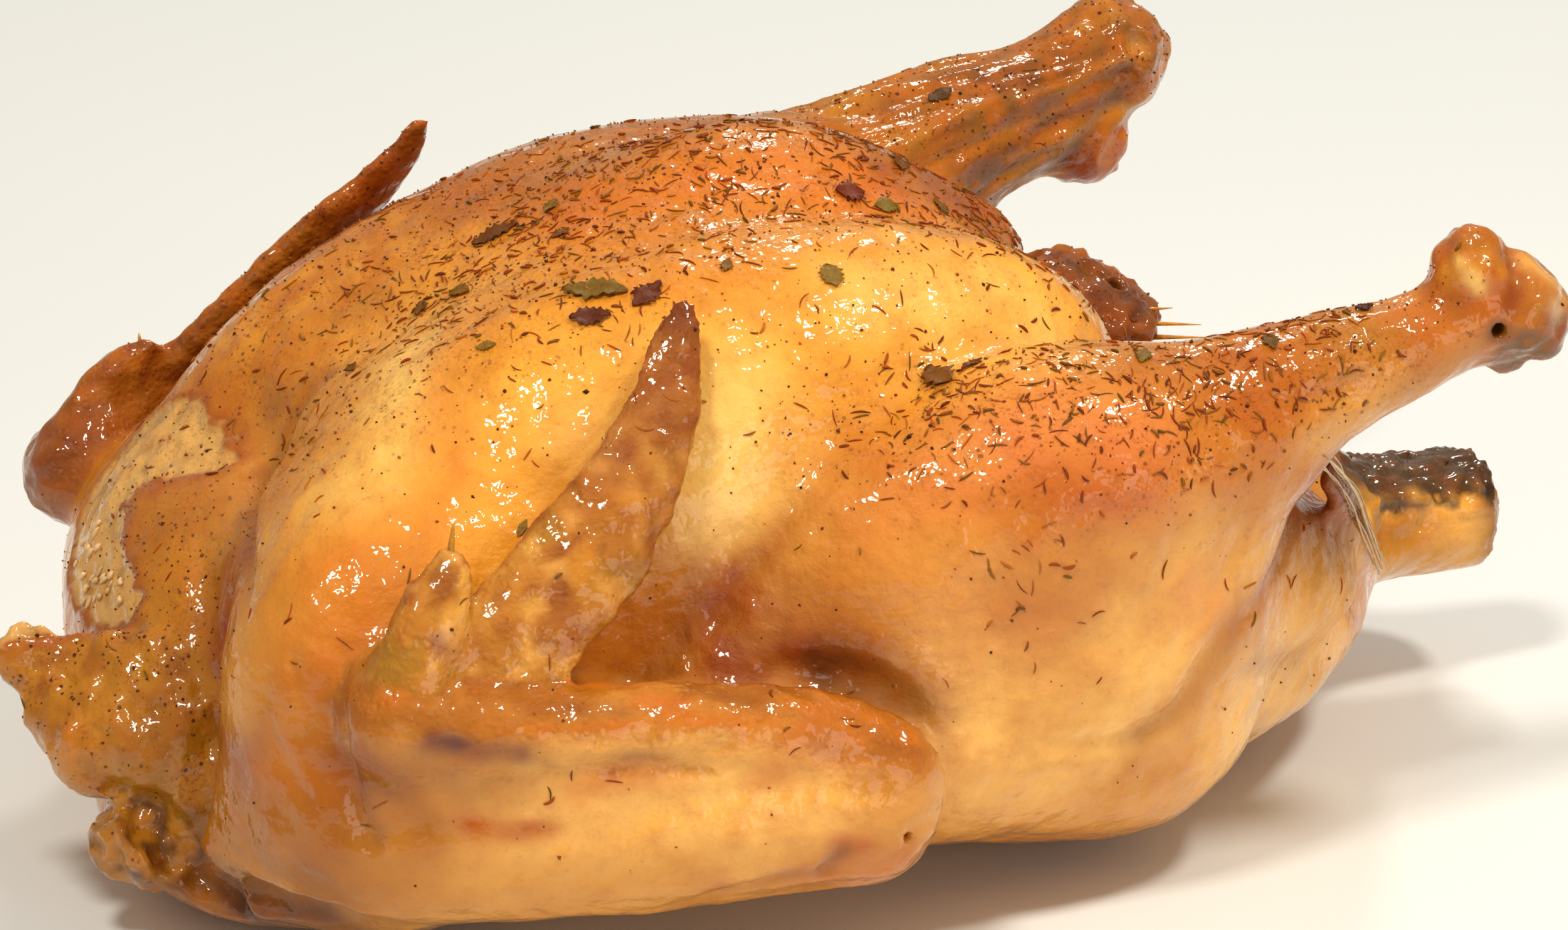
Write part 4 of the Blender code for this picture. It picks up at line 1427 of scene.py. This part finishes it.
def make_spice(surface):
    """Grains of ground spice: rough little octahedra, half sunk in the skin."""
    rng = np.random.default_rng(17)
    middles, normals = surface.middles, surface.normals
    top = np.clip((middles[:, 2] - 0.10) / 0.05, 0, 1) * np.clip((middles[:, 1] + 0.09) / 0.05, 0, 1)
    calf = nearness(middles, [(-20, -90, 135), (50, -115, 130), (110, -108, 143)], 22)
    front = nearness(middles, [(-165, 10, 100), (-170, -20, 80),
                               (-185, -15, 62)], 22)
    weight = (1.0 * top + 1.0 * calf + 1.3 * front + 0.07) * (normals[:, 2] > -0.3)
    places, ups = surface.scatter(weight, SPICE_GRAINS, rng)
    axes = np.vstack([np.eye(3), -np.eye(3)])
    faces = [(0, 1, 2), (1, 3, 2), (3, 4, 2), (4, 0, 2), (1, 0, 5), (3, 1, 5), (4, 3, 5), (0, 4, 5)]
    pile = Pile()
    for place, up in zip(places, ups):
        size = 0.00018 + 0.00022 * rng.random() ** 2 + (0.00025 if rng.random() < 0.06 else 0)
        shape = axes * size * rng.uniform(0.6, 1.5, (6, 1)) @ turn_matrix(rng.uniform(0, 360, 3))
        pile.add(place + up * size * 0.3 + shape, faces, SPICE_TONES[rng.integers(len(SPICE_TONES))])
    return pile.piece("spice_grains", flecked_material("ground_spice"), smooth=False)


# --- stage ------------------------------------------------------------------
AIM = Vector((0.0028, 0.0, 0.0815))
CAMERA_AZIMUTH, CAMERA_ELEVATION, CAMERA_DISTANCE = -24.0, 20.0, 2.2
VIEW_WIDTH, SENSOR_WIDTH = 0.385, 36.0


ROOM_LIGHT, ROOM_STRENGTH = (1.0, 0.86, 0.68, 1), 0.34
# Round lamps: name, azimuth, elevation, distance, diameter, power and colour.
LAMPS = (("key", -52, 56, 1.6, 0.28, 12, (1.0, 0.89, 0.74)),
         ("side", 50, 60, 1.7, 0.28, 13, (1.0, 0.89, 0.74)),
         ("back", 150, 45, 1.8, 0.28, 7, (1.0, 0.92, 0.80)),
         ("front", 12, 8, 1.8, 1.0, 6, (1.0, 0.90, 0.76)))


def looking(azimuth, elevation):
    """The direction of sight from an azimuth, 0 along +Y, and an elevation above the table."""
    a, e = np.radians(azimuth), np.radians(elevation)
    return Vector((-np.sin(a) * np.cos(e), np.cos(a) * np.cos(e), -np.sin(e)))


def place_facing(holder, azimuth, elevation, distance):
    direction = looking(azimuth, elevation)
    holder.location = AIM - direction * distance
    holder.rotation_euler = direction.to_track_quat("-Z", "Y").to_euler()


def add_camera():
    data = bpy.data.cameras.new("camera")
    data.sensor_width = SENSOR_WIDTH
    data.lens = SENSOR_WIDTH * CAMERA_DISTANCE / VIEW_WIDTH
    data.clip_end = 20
    camera = bpy.data.objects.new("camera", data)
    bpy.context.scene.collection.objects.link(camera)
    place_facing(camera, CAMERA_AZIMUTH, CAMERA_ELEVATION, CAMERA_DISTANCE)
    bpy.context.scene.camera = camera


def add_lamp(name, azimuth, elevation, distance, size, power, colour):
    data = bpy.data.lights.new(name, "AREA")
    data.shape = "DISK"
    data.size, data.energy, data.color = size, power, colour
    lamp = bpy.data.objects.new(name, data)
    bpy.context.scene.collection.objects.link(lamp)
    place_facing(lamp, azimuth, elevation, distance)


def set_stage():
    bpy.ops.mesh.primitive_plane_add(size=8, location=(0, 0, 0))
    floor = bpy.context.object
    floor.name = "floor"
    floor.data.materials.append(floor_material())
    world = bpy.data.worlds.new("soft_room")
    world.use_nodes = True
    background = world.node_tree.nodes["Background"]
    background.inputs["Color"].default_value = ROOM_LIGHT
    background.inputs["Strength"].default_value = ROOM_STRENGTH
    bpy.context.scene.world = world
    bpy.context.scene.view_settings.view_transform = "Standard"
    for name, azimuth, elevation, distance, size, power, colour in LAMPS:
        add_lamp(name, azimuth, elevation, distance, size, power, colour)


# --- all together -----------------------------------------------------------
def main():
    shapes = bird_shapes()
    skin = make_skin_shape(shapes)
    points, normals = points_of(skin.data), normals_of(skin.data)
    set_colours(skin.data, "Colour", skin_colours(points, normals, shapes))
    for name, values in skin_masks(points, shapes).items():
        set_values(skin.data, name, values)
    skin.data.materials.append(skin_material())
    surface = Surface(skin)
    pieces = [skin, make_dill(surface), make_leaves(surface), make_spice(surface), make_quills(),
              make_strands(), make_fibres(surface)]
    for piece in pieces:
        piece.data.transform(Matrix.Translation(TO_ROW))
        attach(piece, "root")
    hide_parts("turkey")
    set_stage()
    add_camera()
    bpy.context.view_layer.update()


main()
